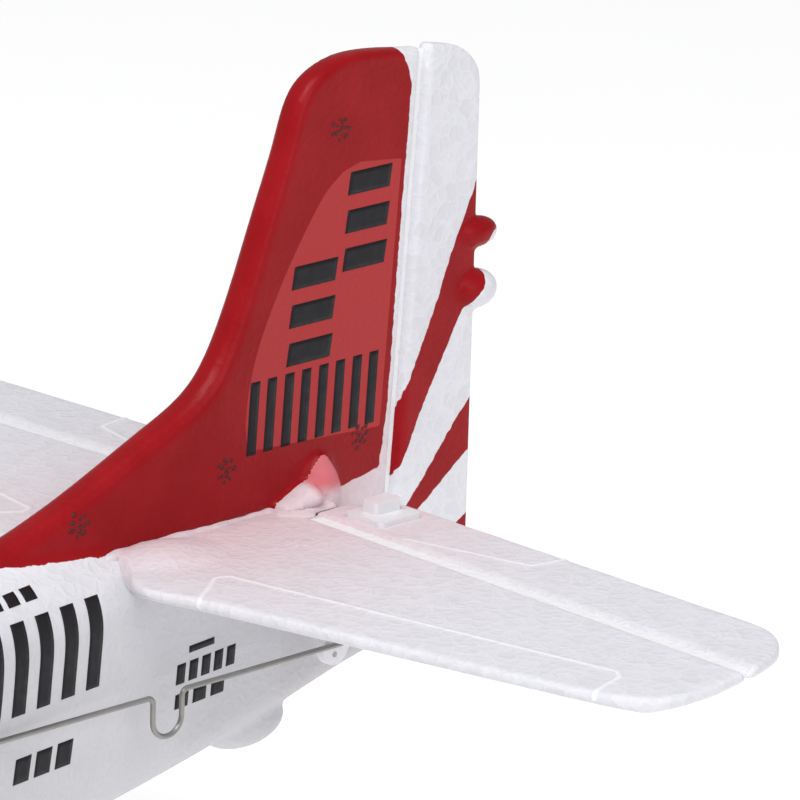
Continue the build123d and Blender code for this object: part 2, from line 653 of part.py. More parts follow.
# identical fixed pieces, one each side, share a node
for name, piece in {
    "aileron_servos": aileron_servo_port, "main_legs": main_leg_port, "main_mounts": main_mount_port
}.items():
    with BuildPart() as both_sides:
        add(piece.part)
        mirror(piece.part, about=Plane.YZ)
    both_sides.part.label = name
    export_step(both_sides.part, f"parts/{name}.step")

# ---------------------------------------------------------------- nose gear
nose_axle = Vector(0, NOSE_Y, NOSE_WHEEL)
NOSE_WIDTH, NOSE_OFFSET = 5.4, 5.6
NOSE_TOP = 40.0
nose_leg = wire(
    [
        Vector(0, NOSE_Y, NOSE_TOP), Vector(0, NOSE_Y, 27.0), Vector(-NOSE_OFFSET, NOSE_Y, 21.5),
        Vector(-NOSE_OFFSET, NOSE_Y, NOSE_WHEEL), Vector(NOSE_OFFSET - 0.6, NOSE_Y, NOSE_WHEEL),
    ],
    [2.5, 2.5, 1.6], LEG_RADIUS,
)
nose_leg.part.label = "nose_leg"
export_step(nose_leg.part, "parts/nose_leg.step")
nose_hub = hub(nose_axle, NOSE_WHEEL, 0.7 * NOSE_WIDTH)
nose_hub.part.label = "nose_hub"
export_step(nose_hub.part, "parts/nose_hub.step")
nose_tyre = tyre(nose_axle, NOSE_WHEEL, NOSE_WIDTH)
nose_tyre.part.label = "nose_tyre"
export_step(nose_tyre.part, "parts/nose_tyre.step")
with BuildPart() as nose_collars:
    for x in (-0.35 * NOSE_WIDTH - 1.5, 0.35 * NOSE_WIDTH + 0.3):
        with BuildSketch(Plane.YZ.offset(x)):
            with Locations((NOSE_Y, NOSE_WHEEL)):
                Circle(1.6)
                Circle(LEG_RADIUS, mode=Mode.SUBTRACT)
        extrude(amount=1.2)
with BuildPart() as axle_collars:
    add(main_collars.part)
    add(nose_collars.part)
axle_collars.part.label = "axle_collars"
export_step(axle_collars.part, "parts/axle_collars.step")
with BuildPart() as nose_mount:  # bracket let into the floor of the nose
    with BuildSketch(Plane.XY.offset(31.4)):
        with Locations((0, NOSE_Y)):
            RectangleRounded(12.0, 12.0, 2.0)
    extrude(amount=1.4)
    with BuildSketch(Plane.XY.offset(32.8)):
        with Locations((0, NOSE_Y)):
            Circle(3.2)
    extrude(amount=NOSE_TOP - 32.8)
    add(nose_leg.part, mode=Mode.SUBTRACT)
nose_mount.part.label = "nose_mount"
export_step(nose_mount.part, "parts/nose_mount.step")

# ---------------------------------------------------------------- canopy and hatch
HATCH = (-74.0, 16.0, 69.5, 15.5)  # front, back, floor, half width
HATCH_GAP = 0.3
# canopy stations: y, half width, height over the sill
SILL = 73.5
CANOPY = [(-73.0, 2.5, 3.2), (-64.0, 9.4, 9.6), (-52.0, 12.2, 17.6), (-36.0, 13.0, 21.4), (-18.0, 12.4, 20.6),
          (0.0, 9.8, 14.2), (15.0, 3.4, 4.2)]


def canopy_loft(shrink):
    """The bubble as ellipses across the fuselage, shrunk by the shell's thickness."""
    with BuildPart() as shape:
        for y, half_width, height in CANOPY:
            with BuildSketch(station(y, SILL)):
                Ellipse(half_width - shrink, height - shrink)
        loft()
    return shape


bubble, bubble_inner, bubble_outer = canopy_loft(0.0), canopy_loft(1.0), canopy_loft(-0.35)

with BuildPart() as body_blank:
    for y, half_width, bottom, top, corner in BODY:
        with BuildSketch(station(y, (bottom + top) / 2)):
            RectangleRounded(2 * half_width, top - bottom, corner)
    loft()

with BuildPart() as cavity:
    for y, half_width, bottom, top, corner in BODY:
        if y <= CAVITY_END:
            with BuildSketch(station(y - (1 if y == BODY[0][0] else 0), (bottom + top) / 2)):
                RectangleRounded(2 * (half_width - WALL), top - bottom - 2 * WALL, corner - WALL)
    loft()

with BuildPart() as hatch_base:
    add(body_blank.part)
    with BuildSketch(Plane.XY.offset(HATCH[2])):
        Polygon(
            (HATCH[3], HATCH[0]), (HATCH[3], HATCH[1]), (-HATCH[3], HATCH[1]), (-HATCH[3], HATCH[0]), align=None
        )
    extrude(amount=20, mode=Mode.INTERSECT)
hatch_top_cut = hatch_base.part

with BuildPart() as canopy_glazing:
    add(bubble.part)
    add(bubble_inner.part, mode=Mode.SUBTRACT)
    add(hatch_base.part, mode=Mode.SUBTRACT)
    with BuildSketch(Plane.XY.offset(40)):
        Rectangle(60, 300)
    extrude(amount=SILL + 1.0 - 40, mode=Mode.SUBTRACT)
canopy_glazing.part.label = "canopy_glazing"
export_step(canopy_glazing.part, "parts/canopy_glazing.step")

BOWS = (-60.0, -48.0, -31.0, -14.0, 1.0)
BOW_WIDTH = 1.4
with BuildPart() as canopy_frame:  # bows and sills that stand a little proud of the glazing
    add(bubble_outer.part)
    add(bubble.part, mode=Mode.SUBTRACT)
    add(hatch_base.part, mode=Mode.SUBTRACT)
    with BuildSketch(Plane.YZ) as keep:
        with Locations(*[(y, 85.0) for y in BOWS]):
            Rectangle(BOW_WIDTH, 40.0)
        with Locations(((HATCH[0] + HATCH[1]) / 2, SILL + 3.0)):
            Rectangle(80.0, 2.0)
    extrude(amount=30, both=True, mode=Mode.INTERSECT)
    with BuildSketch(Plane.XY.offset(40)):
        Rectangle(60, 300)
    extrude(amount=SILL + 2.0 - 40, mode=Mode.SUBTRACT)
canopy_frame.part.label = "canopy_frame"
export_step(canopy_frame.part, "parts/canopy_frame.step")

MAGNET_RADIUS, MAGNET_THICK = 2.0, 1.5
MAGNET_Y = (-70.5, 12.5)
with BuildPart() as hatch_magnets:
    with BuildSketch(Plane.XY.offset(HATCH[2])):
        with Locations(*[(0, y) for y in MAGNET_Y]):
            Circle(MAGNET_RADIUS)
    extrude(amount=MAGNET_THICK)
hatch_magnets.part.label = "hatch_magnets"
export_step(hatch_magnets.part, "parts/hatch_magnets.step")
with BuildPart() as body_magnets:
    with BuildSketch(Plane.XY.offset(HATCH[2] - HATCH_GAP - MAGNET_THICK)):
        with Locations(*[(0, y) for y in MAGNET_Y]):
            Circle(MAGNET_RADIUS)
    extrude(amount=MAGNET_THICK)
body_magnets.part.label = "body_magnets"
export_step(body_magnets.part, "parts/body_magnets.step")

with BuildPart() as hatch:
    add(hatch_top_cut)
    add(hatch_magnets.part, mode=Mode.SUBTRACT)
hatch.part.label = "hatch_base"
export_step(hatch.part, "parts/hatch_base.step")

# ---------------------------------------------------------------- fuselage halves
BAY = (-66.0, 8.0, 12.5)  # battery bay mouth under the hatch: front, back, half width
with BuildPart() as fuselage:
    add(body_blank.part)
    add(fin_blank.part)
    add(ellipsoid((0, *tail(-17.0, -28.0)), (0, 1, 0), 6.6, 3.3).part)  # tail bumper under the fuselage
    for side in (1, -1):  # fairings at the foot of the fin
        add(ellipsoid((2.4 * side, *tail(-6.2, 0)), (0, 0, 1), 5.8, 3.0).part)
    add(cavity.part, mode=Mode.SUBTRACT)
    with BuildSketch(Plane.YZ):  # clear of the rudder, behind its leaning hinge line
        low, high = rudder_hinge(-40), rudder_hinge(70)
        Polygon((low.Y, low.Z), (high.Y, high.Z), (high.Y + 30, high.Z), (low.Y + 30, low.Z), align=None)
    extrude(amount=20, both=True, mode=Mode.SUBTRACT)
    add(rudder_groove.part, mode=Mode.SUBTRACT)
    add(rudder_groove_low.part, mode=Mode.SUBTRACT)
    add(tailplane.part, mode=Mode.SUBTRACT)
    with BuildSketch(Plane.YZ):  # slot for the elevator joiner's swing
        with Locations(tail(JOINER_Y, -PLATE / 2)):
            Rectangle(3.4, 5.2)
    extrude(amount=20, both=True, mode=Mode.SUBTRACT)
    with BuildSketch(Plane.XY.offset(HATCH[2] - HATCH_GAP)):  # recess for the hatch
        Polygon(
            (HATCH[3] + HATCH_GAP, HATCH[0] - HATCH_GAP), (HATCH[3] + HATCH_GAP, HATCH[1] + HATCH_GAP),
            (-HATCH[3] - HATCH_GAP, HATCH[1] + HATCH_GAP), (-HATCH[3] - HATCH_GAP, HATCH[0] - HATCH_GAP),
            align=None,
        )
    extrude(amount=40, mode=Mode.SUBTRACT)
    with BuildSketch(Plane.XY.offset(60)):  # mouth of the bay
        with Locations((0, (BAY[0] + BAY[1]) / 2)):
            Rectangle(2 * BAY[2], BAY[1] - BAY[0])
    extrude(amount=20, mode=Mode.SUBTRACT)
    with BuildSketch(Plane.YZ.offset(11.6)):  # elevator rod's way out
        with Locations(((ELEVATOR_SERVO_Y + ROD_EXIT) / 2, ELEVATOR_ROD_Z + 0.4)):
            Rectangle(ROD_EXIT - ELEVATOR_SERVO_Y, 2.6)
    extrude(amount=6, mode=Mode.SUBTRACT)
    with BuildSketch(Plane.XY.offset(RUDDER_ROD_Z - 1.2)):  # rudder rod's way out
        with Locations((-14.2, (RUDDER_SERVO_Y + ROD_EXIT) / 2)):
            Rectangle(4.6, ROD_EXIT - RUDDER_SERVO_Y)
    extrude(amount=2.4, mode=Mode.SUBTRACT)
    add(elevator_servo.part, mode=Mode.SUBTRACT)
    with BuildSketch(elevator_servo_top):  # room for the hub of the elevator servo's arm
        Circle(3.2)
    extrude(amount=ROD_RISE + 0.6, mode=Mode.SUBTRACT)
    with BuildSketch(Plane.XY.offset(20)):  # saddle over the wing
        with Locations((0, (ROOT_LE + ROOT_TE) / 2)):
            Rectangle(60, ROOT_TE - ROOT_LE - 6)
    extrude(amount=WING_Z - 20, mode=Mode.SUBTRACT)
    add(wing_blank.part, mode=Mode.SUBTRACT)
    mirror(wing_blank.part, about=Plane.YZ, mode=Mode.SUBTRACT)
    add(body_magnets.part, mode=Mode.SUBTRACT)
    add(nose_mount.part, mode=Mode.SUBTRACT)
    add(nose_leg.part, mode=Mode.SUBTRACT)
    add(wing_screws.part, mode=Mode.SUBTRACT)

for side, name in ((Keep.TOP, "fuselage_port"), (Keep.BOTTOM, "fuselage_starboard")):
    with BuildPart() as half:
        add(fuselage.part)
        split(bisect_by=Plane.YZ, keep=side)
    half.part.label = name
    export_step(half.part, f"parts/{name}.step")

# ---------------------------------------------------------------- inside the fuselage
TRAY_TOP, TRAY_THICK = RUDDER_SERVO_TOP - 4.0, 1.2
with BuildPart() as servo_tray:  # plywood tray that carries the rudder servo, glued to both walls
    with BuildSketch(Plane.XY.offset(TRAY_TOP - TRAY_THICK)):
        with Locations((0, 13.5)):
            Rectangle(44.0, 31.0)
        with Locations((0, RUDDER_SERVO_Y - SERVO_LENGTH / 2 + SERVO_END)):
            Rectangle(SERVO_WIDTH + 0.2, SERVO_LENGTH + 0.2, mode=Mode.SUBTRACT)
    extrude(amount=TRAY_THICK)
    add(cavity.part, mode=Mode.INTERSECT)
servo_tray.part.label = "servo_tray"
export_step(servo_tray.part, "parts/servo_tray.step")

BATTERY = (9.0, 34.0, 9.5)  # half width, length, height
BATTERY_Y, BATTERY_Z = -62.0, 48.2
with BuildPart() as battery:
    with BuildSketch(Plane.XY.offset(BATTERY_Z)):
        with Locations((0, BATTERY_Y)):
            RectangleRounded(2 * BATTERY[0], BATTERY[1], 1.5)
    extrude(amount=BATTERY[2])
    fillet(battery.edges().group_by(Axis.Z)[-1], 0.8)
battery.part.label = "battery"
export_step(battery.part, "parts/battery.step")

STRAP = 0.8
with BuildPart() as battery_tray:  # shelf over the wing from wall to wall, for the battery and the board
    with BuildSketch(Plane.XY.offset(BATTERY_Z - STRAP - 2.0)):
        with Locations((0, -46.5)):
            Rectangle(48.0, 70.0)
    extrude(amount=2.0)
    add(cavity.part, mode=Mode.INTERSECT)
battery_tray.part.label = "battery_tray"
export_step(battery_tray.part, "parts/battery_tray.step")

with BuildPart() as battery_strap:  # hook-and-loop strap round the battery
    with BuildSketch(station(BATTERY_Y + 9, BATTERY_Z + BATTERY[2] / 2)):
        Rectangle(2 * BATTERY[0] + 2 * STRAP, BATTERY[2] + 2 * STRAP)
        Rectangle(2 * BATTERY[0], BATTERY[2], mode=Mode.SUBTRACT)
    extrude(amount=10.0)
    add(battery.part, mode=Mode.SUBTRACT)
battery_strap.part.label = "battery_strap"
export_step(battery_strap.part, "parts/battery_strap.step")

BOARD_Y, BOARD_Z = -26.0, BATTERY_Z - STRAP
with BuildPart() as receiver_board:  # flight control board with its crystal can, chips and sockets
    with BuildSketch(Plane.XY.offset(BOARD_Z)):
        with Locations((0, BOARD_Y)):
            Rectangle(18.0, 22.0)
    extrude(amount=1.0)
    with BuildSketch(Plane.XY.offset(BOARD_Z + 1.0)):
        with Locations((-3.5, BOARD_Y - 2)):
            Rectangle(6.0, 6.0)
        with Locations((5.0, BOARD_Y - 6)):
            Rectangle(4.0, 4.0)
    extrude(amount=1.0)
    with BuildSketch(Plane.XY.offset(BOARD_Z + 1.0)):
        with Locations((0, BOARD_Y + 8.5)):
            with GridLocations(4.4, 1, 4, 1):
                Rectangle(3.6, 4.0)
        with Locations((5.4, BOARD_Y + 1.5)):
            Rectangle(3.6, 5.6)
    extrude(amount=2.6)
receiver_board.part.label = "receiver_board"
export_step(receiver_board.part, "parts/receiver_board.step")

# ---------------------------------------------------------------- engine bay
FIREWALL_Y = -120.0
with BuildPart() as firewall:
    with BuildSketch(station(FIREWALL_Y, THRUST_Z)):
        Circle(20.5)
        with Locations((0, -MOTOR_DROP)):
            Circle(6.5, mode=Mode.SUBTRACT)
        Circle(2.4, mode=Mode.SUBTRACT)
    extrude(amount=1.5)
firewall.part.label = "firewall"
export_step(firewall.part, "parts/firewall.step")

COWL_BACK, COWL_FRONT = FIREWALL_Y, -150.0
with BuildPart() as cowl:
    with BuildSketch(Plane.YZ):
        with BuildLine():
            outer = Spline((COWL_BACK, THRUST_Z + 23.6), (-134, THRUST_Z + 24.4), (-145, THRUST_Z + 23.4),
                           (COWL_FRONT + 0.8, THRUST_Z + 20.8))
            lip = ThreePointArc(outer @ 1, (COWL_FRONT, THRUST_Z + 18.9), (COWL_FRONT + 1.4, THRUST_Z + 17.8))
            inner = Spline(lip @ 1, (-145, THRUST_Z + 20.6), (-134, THRUST_Z + 22.4), (COWL_BACK, THRUST_Z + 21.6))
            Line(inner @ 1, outer @ 0)
        make_face()
    revolve(axis=Axis((0, 0, THRUST_Z), (0, 1, 0)))
cowl.part.label = "cowl"
export_step(cowl.part, "parts/cowl.step")

CYLINDERS = 9
with BuildPart() as engine_face:  # moulded dummy radial engine
    with BuildSketch(station(-144.6, THRUST_Z)):
        Circle(20.9)
        with PolarLocations(15.6, CYLINDERS, start_angle=110):
            Rectangle(3.0, 1.4, mode=Mode.SUBTRACT)
        Circle(2.2, mode=Mode.SUBTRACT)
    extrude(amount=0.9)
    with BuildSketch(station(-145.5, THRUST_Z)):
        Circle(7.2)
        with PolarLocations(11.6, CYLINDERS, start_angle=90):
            RectangleRounded(9.6, 4.6, 1.0)
        Circle(2.2, mode=Mode.SUBTRACT)
    extrude(amount=2.0)
    with BuildSketch(station(-147.5, THRUST_Z)):
        Circle(5.4)
        Circle(2.2, mode=Mode.SUBTRACT)
    extrude(amount=1.6)
    add(cowl.part, mode=Mode.SUBTRACT)
engine_face.part.label = "engine_face"
export_step(engine_face.part, "parts/engine_face.step")


def gear(y, z, teeth, width, bore, phase):
    """A spur gear of plain straight-sided teeth, turning about Y."""
    pitch = teeth * GEAR_MODULE / 2
    half = 0.62 * GEAR_MODULE
    with BuildPart() as toothed:
        with BuildSketch(station(y, z)):
            Circle(pitch - 1.2 * GEAR_MODULE)
            with PolarLocations(pitch, teeth, start_angle=phase):
                Polygon(
                    (-1.5 * GEAR_MODULE, -1.3 * half), (0.85 * GEAR_MODULE, -0.45 * half),
                    (0.85 * GEAR_MODULE, 0.45 * half), (-1.5 * GEAR_MODULE, 1.3 * half), align=None,
                )
            Circle(bore, mode=Mode.SUBTRACT)
        extrude(amount=-width)
    return toothed


GEAR_WIDTH = 2.0
spur_gear = gear(GEAR_Y, THRUST_Z, SPUR_TEETH, GEAR_WIDTH, SHAFT_RADIUS, 90.0)
spur_gear.part.label = "spur_gear"
export_step(spur_gear.part, "parts/spur_gear.step")
pinion_tooth = 360.0 / PINION_TEETH
MOTOR_SHAFT = 0.5
pinion = gear(GEAR_Y, THRUST_Z - MOTOR_DROP, PINION_TEETH, GEAR_WIDTH, MOTOR_SHAFT, 90.0 + pinion_tooth / 2)

FRAME_FRONT, FRAME_BACK, PLATE_THICK = -140.6, -128.0, 1.6
with BuildPart() as gearbox_frame:
    for front in (FRAME_FRONT, FRAME_BACK):
        with BuildSketch(station(front + PLATE_THICK, THRUST_Z)):
            Circle(4.2)
            with Locations((0, -MOTOR_DROP)):
                Circle(6.4)
            make_hull()
            Circle(2.0, mode=Mode.SUBTRACT)
            with Locations((0, -MOTOR_DROP)):
                Circle(1.6 if front == FRAME_FRONT else 5.1, mode=Mode.SUBTRACT)
        extrude(amount=PLATE_THICK)
    with BuildSketch(station(FIREWALL_Y - 1.5, THRUST_Z)):  # two rails back to the firewall
        with GridLocations(7.4, 1, 2, 1):
            Rectangle(1.4, 3.0)
    extrude(amount=FIREWALL_Y - 1.5 - FRAME_FRONT)
gearbox_frame.part.label = "gearbox_frame"
export_step(gearbox_frame.part, "parts/gearbox_frame.step")

with BuildPart() as motor:  # coreless can with its brass front bush
    with BuildSketch(station(FRAME_FRONT + PLATE_THICK + 20.0, THRUST_Z - MOTOR_DROP)):
        Circle(5.0)
    extrude(amount=20.0)
    with BuildSketch(station(FRAME_FRONT + PLATE_THICK, THRUST_Z - MOTOR_DROP)):
        Circle(1.5)
    extrude(amount=1.2)
    with BuildSketch(station(FRAME_FRONT + PLATE_THICK + 16.0, THRUST_Z - MOTOR_DROP)):
        Circle(MOTOR_SHAFT + 0.05)
    extrude(amount=20.0, mode=Mode.SUBTRACT)
motor.part.label = "motor"
export_step(motor.part, "parts/motor.step")

with BuildPart() as motor_pinion:  # pinion pressed on the motor's shaft
    with BuildSketch(station(FRAME_FRONT + PLATE_THICK + 14.0, THRUST_Z - MOTOR_DROP)):
        Circle(MOTOR_SHAFT)
    extrude(amount=FRAME_FRONT + PLATE_THICK + 14.0 - GEAR_Y + 0.3)
    add(pinion.part)
motor_pinion.part.label = "motor_pinion"
export_step(motor_pinion.part, "parts/motor_pinion.step")

with BuildPart() as shaft_bearings:
    for front in (FRAME_FRONT, FRAME_BACK):
        with BuildSketch(station(front + PLATE_THICK, THRUST_Z)):
            Circle(2.0)
            Circle(SHAFT_HOLE, mode=Mode.SUBTRACT)
        extrude(amount=PLATE_THICK)
shaft_bearings.part.label = "shaft_bearings"
export_step(shaft_bearings.part, "parts/shaft_bearings.step")

HUB_BACK, HUB_DEPTH = -151.4, 6.4
PROP_RADIUS = 49.0
SPINNER_TIP = -165.0
with BuildPart() as propeller_shaft:
    with BuildSketch(station(FRAME_BACK + 3.4, THRUST_Z)):
        Circle(SHAFT_RADIUS)
    extrude(amount=FRAME_BACK + 3.4 - HUB_BACK + HUB_DEPTH + 2.0)
propeller_shaft.part.label = "propeller_shaft"
export_step(propeller_shaft.part, "parts/propeller_shaft.step")

# blade stations: radius, chord, thickness, pitch angle
BLADE = [(3.0, 5.0, 3.0, 48.0), (10.0, 8.4, 2.2, 42.0), (24.0, 11.4, 1.5, 28.0), (38.0, 10.0, 1.1, 19.0),
         (46.0, 6.6, 0.8, 16.0), (PROP_RADIUS, 3.0, 0.6, 15.0)]
BLADES = 3
with BuildPart() as blade:
    for radius, chord, thick, pitch in BLADE:
        angle = radians(pitch)
        with BuildSketch(Plane(
            origin=(0, HUB_BACK - HUB_DEPTH / 2, THRUST_Z + radius), x_dir=(cos(angle), sin(angle), 0), z_dir=(0, 0, 1)
        )):
            Ellipse(chord / 2, thick / 2)
    loft()
with BuildPart() as propeller:
    with BuildSketch(station(HUB_BACK, THRUST_Z)):
        Circle(5.6)
    extrude(amount=HUB_DEPTH)
    with Locations(*[Location((0, 0, THRUST_Z), (0, 360.0 * i / BLADES, 0)) for i in range(BLADES)]):
        add(blade.part.moved(Location((0, 0, -THRUST_Z))))
    add(propeller_shaft.part, mode=Mode.SUBTRACT)
propeller.part.label = "propeller"
export_step(propeller.part, "parts/propeller.step")

with BuildPart() as spinner:
    with BuildSketch(Plane.YZ):
        with BuildLine():
            nose_curve = Spline(
                (SPINNER_TIP, THRUST_Z), (-163.6, THRUST_Z + 3.0), (HUB_BACK - HUB_DEPTH, THRUST_Z + 6.4),
                tangents=((0, 1), (1, 0.15)),
            )
            Polyline(nose_curve @ 1, (HUB_BACK - HUB_DEPTH, THRUST_Z), nose_curve @ 0)
        make_face()
    revolve(axis=Axis((0, 0, THRUST_Z), (0, 1, 0)))
    add(propeller_shaft.part, mode=Mode.SUBTRACT)
spinner.part.label = "spinner"
export_step(spinner.part, "parts/spinner.step")
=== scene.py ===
import json
from math import cos, radians, sin

import bpy
import numpy as np
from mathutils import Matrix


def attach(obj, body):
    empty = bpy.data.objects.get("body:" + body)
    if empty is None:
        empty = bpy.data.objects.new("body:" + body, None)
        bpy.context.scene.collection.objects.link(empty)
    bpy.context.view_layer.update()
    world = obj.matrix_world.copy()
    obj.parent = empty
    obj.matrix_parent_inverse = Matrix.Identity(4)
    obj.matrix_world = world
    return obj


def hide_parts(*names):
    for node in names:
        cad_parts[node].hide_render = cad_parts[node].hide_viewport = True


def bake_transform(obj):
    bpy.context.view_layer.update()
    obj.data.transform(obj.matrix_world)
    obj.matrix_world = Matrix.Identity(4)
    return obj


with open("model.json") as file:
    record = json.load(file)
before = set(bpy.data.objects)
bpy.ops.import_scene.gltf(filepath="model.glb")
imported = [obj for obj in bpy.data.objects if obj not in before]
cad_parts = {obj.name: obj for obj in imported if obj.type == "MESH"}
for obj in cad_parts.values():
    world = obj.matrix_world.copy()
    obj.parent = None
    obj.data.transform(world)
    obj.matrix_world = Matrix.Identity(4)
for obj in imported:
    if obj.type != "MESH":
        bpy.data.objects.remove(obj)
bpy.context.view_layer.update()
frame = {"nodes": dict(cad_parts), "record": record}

import openvdb as vdb
from mathutils import Matrix, Vector
from mathutils.bvhtree import BVHTree

# The looks of a 400 mm foam radio-controlled trainer. Lengths are in millimetres unless they say
# otherwise; "tail" points are measured from the elevator's trailing edge on the centre plane, at the
# tailplane's top.
MM = 0.001
random = np.random.default_rng(7)

TAIL = np.array([0.0, 137.7, 68.0])
RUDDER_LEAN, RUDDER_HINGE_Y = 0.0708, 8.36
HINGE_ROOT, HINGE_SWEEP = -11.2, -0.042


# ---------------------------------------------------------------- shader graphs
class Graph:
    """A procedural material around one Principled shader."""

    def __init__(self, name, rough=0.5, **constants):
        self.material = bpy.data.materials.new(name)
        self.material.use_nodes = True
        self.tree = self.material.node_tree
        self.shader = self.tree.nodes["Principled BSDF"]
        self.shader.inputs["Roughness"].default_value = rough
        for socket, value in constants.items():
            self.shader.inputs[socket.replace("_", " ")].default_value = value
        self.position = self.node("ShaderNodeTexCoord").outputs["Object"]

    def node(self, kind, inputs=None, **settings):
        made = self.tree.nodes.new(kind)
        for key, value in settings.items():
            setattr(made, key, value)
        for key, value in (inputs or {}).items():
            self.feed(made.inputs[key], value)
        return made

    def feed(self, socket, value):
        if isinstance(value, bpy.types.NodeSocket):
            self.tree.links.new(value, socket)
        else:
            socket.default_value = value

    def math(self, operation, a, b=0.0, clamp=False):
        made = self.node("ShaderNodeMath", {0: a, 1: b}, operation=operation, use_clamp=clamp)
        return made.outputs[0]

    def ramp(self, value, low, high, to_low=0.0, to_high=1.0):
        """Smoothly from one number to another as value passes from low to high."""
        made = self.node(
            "ShaderNodeMapRange",
            {"Value": value, "From Min": low, "From Max": high, "To Min": to_low, "To Max": to_high},
            interpolation_type="SMOOTHSTEP",
        )
        return made.outputs["Result"]

    def mix(self, share, a, b):
        made = self.node("ShaderNodeMix", {0: share, 6: a, 7: b}, data_type="RGBA")
        return made.outputs[2]

    def noise(self, size, detail=2.0, vector=None):
        """Noise from 0 to 1 whose lumps are about size millimetres."""
        made = self.node(
            "ShaderNodeTexNoise",
            {"Vector": vector or self.position, "Scale": 1 / (size * MM), "Detail": detail},
        )
        return made.outputs["Fac"]

    def cells(self, size, feature="DISTANCE_TO_EDGE", vector=None):
        made = self.node(
            "ShaderNodeTexVoronoi", {"Vector": vector or self.position, "Scale": 1 / (size * MM)},
            feature=feature,
        )
        return made

    def attribute(self, name):
        return self.node("ShaderNodeAttribute", attribute_name=name).outputs["Fac"]

    def bump(self, height, depth):
        """Relief of depth millimetres where height goes from 0 to 1."""
        made = self.node("ShaderNodeBump", {"Height": height, "Distance": depth * MM, "Strength": 1.0})
        self.tree.links.new(made.outputs["Normal"], self.shader.inputs["Normal"])


def grey(value, tint=0.0):
    """A neutral colour, leaning to blue by tint."""
    return (value * (1 - tint), value * (1 - 0.7 * tint), value, 1.0)


WHITE_FOAM = (0.815, 0.81, 0.86, 1.0)
SEAM_WHITE = (0.90, 0.895, 0.93, 1.0)
RED = (0.30, 0.004, 0.007, 1.0)
RED_SHEEN = (0.35, 0.007, 0.011, 1.0)
PATCH_RED = (0.46, 0.038, 0.040, 1.0)
PINK_AND_RED_REFLECTION = (0.72, 0.17, 0.20, 1.0)
BEAD = 1.9


def foam_graph(name, painted=False, raised=False):
    """Moulded bead foam: flattened cells with thin pale seams, and paint where the piece carries it."""
    g = Graph(name, rough=0.55, Specular_IOR_Level=0.14 if painted else 0.25, Subsurface_Weight=0.12)
    g.shader.inputs["Subsurface Radius"].default_value = (1.0, 0.9, 0.85)
    g.shader.inputs["Subsurface Scale"].default_value = 1.2 * MM
    wobble = g.node("ShaderNodeTexNoise", {"Vector": g.position, "Scale": 1 / (1.6 * MM), "Detail": 1.0})
    shift = g.node("ShaderNodeVectorMath", {0: wobble.outputs["Color"], 3: 1.1 * MM}, operation="SCALE")
    moved = g.node("ShaderNodeVectorMath", {0: g.position, 1: shift.outputs[0]}, operation="ADD").outputs[0]
    edge = g.cells(BEAD, vector=moved).outputs["Distance"]
    tone = g.node("ShaderNodeSeparateColor", {0: g.cells(BEAD, "F1", moved).outputs["Color"]}).outputs[0]
    seam = g.ramp(edge, 0.0, 0.11, 1.0, 0.0)
    dome = g.ramp(edge, 0.0, 0.30)
    speckle = g.noise(0.35, 3.0)
    body = g.mix(g.math("MULTIPLY", tone, 0.6), WHITE_FOAM, grey(0.76, 0.04))
    colour = g.mix(g.math("MULTIPLY", seam, 0.28), body, SEAM_WHITE)
    relief = g.math("ADD", g.math("MULTIPLY", dome, -0.5), g.math("MULTIPLY", speckle, 0.5))
    if raised:
        # painted highlight: the raised lines on the tailplane's top are drawn brighter white; the hinge webs
        # take the same white for the hinge band
        line = g.ramp(g.attribute("line"), 0.16, 0.42, 1.0, 0.0)
        colour = g.mix(g.math("MULTIPLY", line, 0.8), colour, (0.97, 0.97, 0.985, 1.0))
    # pink: the fairing's own colour, and elsewhere a painted reflection of the red fin on the white foam
    colour = g.mix(g.math("MULTIPLY", g.attribute("pink_and_red_reflection"), 1.0), colour, PINK_AND_RED_REFLECTION)
    if painted:
        # painted shade: the fuselage flank is greyed towards its bottom, as in the tailplane's shadow, in
        # cloudy patches
        painted_shade_share = g.math("MULTIPLY", g.attribute("painted_shade"), g.ramp(g.noise(14.0), 0.2, 0.8, 0.8, 1.0))
        colour = g.mix(painted_shade_share, colour, (0.60, 0.595, 0.62, 1.0))
        ragged = g.math("MULTIPLY", g.math("SUBTRACT", g.noise(1.3, 3.0), 0.5), 0.55)
        border = g.math("ADD", g.attribute("red"), ragged)
        red = g.ramp(border, -0.05, 0.05, 1.0, 0.0)
        patch = g.math("MULTIPLY", red, g.ramp(g.attribute("patch"), -0.05, 0.05, 1.0, 0.0))
        # painted sheen: lighter red in noisy patches over the paint, standing for its mottled highlights
        painted_sheen = g.ramp(g.noise(9.0, 4.0), 0.35, 0.75)
        paint = g.mix(patch, g.mix(painted_sheen, RED, RED_SHEEN), PATCH_RED)
        colour = g.mix(red, colour, paint)
        g.feed(g.shader.inputs["Roughness"], g.ramp(red, 0.0, 1.0, 0.55, 0.34))
        g.feed(g.shader.inputs["Subsurface Weight"], g.ramp(red, 0.0, 1.0, 0.12, 0.0))
        relief = g.math("MULTIPLY", relief, g.ramp(red, 0.0, 1.0, 1.0, 0.35))
    g.feed(g.shader.inputs["Base Color"], colour)
    g.bump(relief, 0.11)
    return g.material


def plain_graph(name, base, rough, lump=4.0, vary=0.12, relief=0.02, **constants):
    """A plain finish with a slight change of tone and gloss over its surface."""
    g = Graph(name, rough, **constants)
    cloud = g.noise(lump, 3.0)
    darker = tuple(c * (1 - vary) for c in base[:3]) + (1.0,)
    g.feed(g.shader.inputs["Base Color"], g.mix(cloud, darker, base))
    gloss = g.ramp(g.noise(lump * 0.4), 0.3, 0.7, rough * 0.88, min(1.0, rough * 1.12))
    g.feed(g.shader.inputs["Roughness"], gloss)
    if relief:
        g.bump(g.noise(0.6, 2.0), relief)
    return g.material


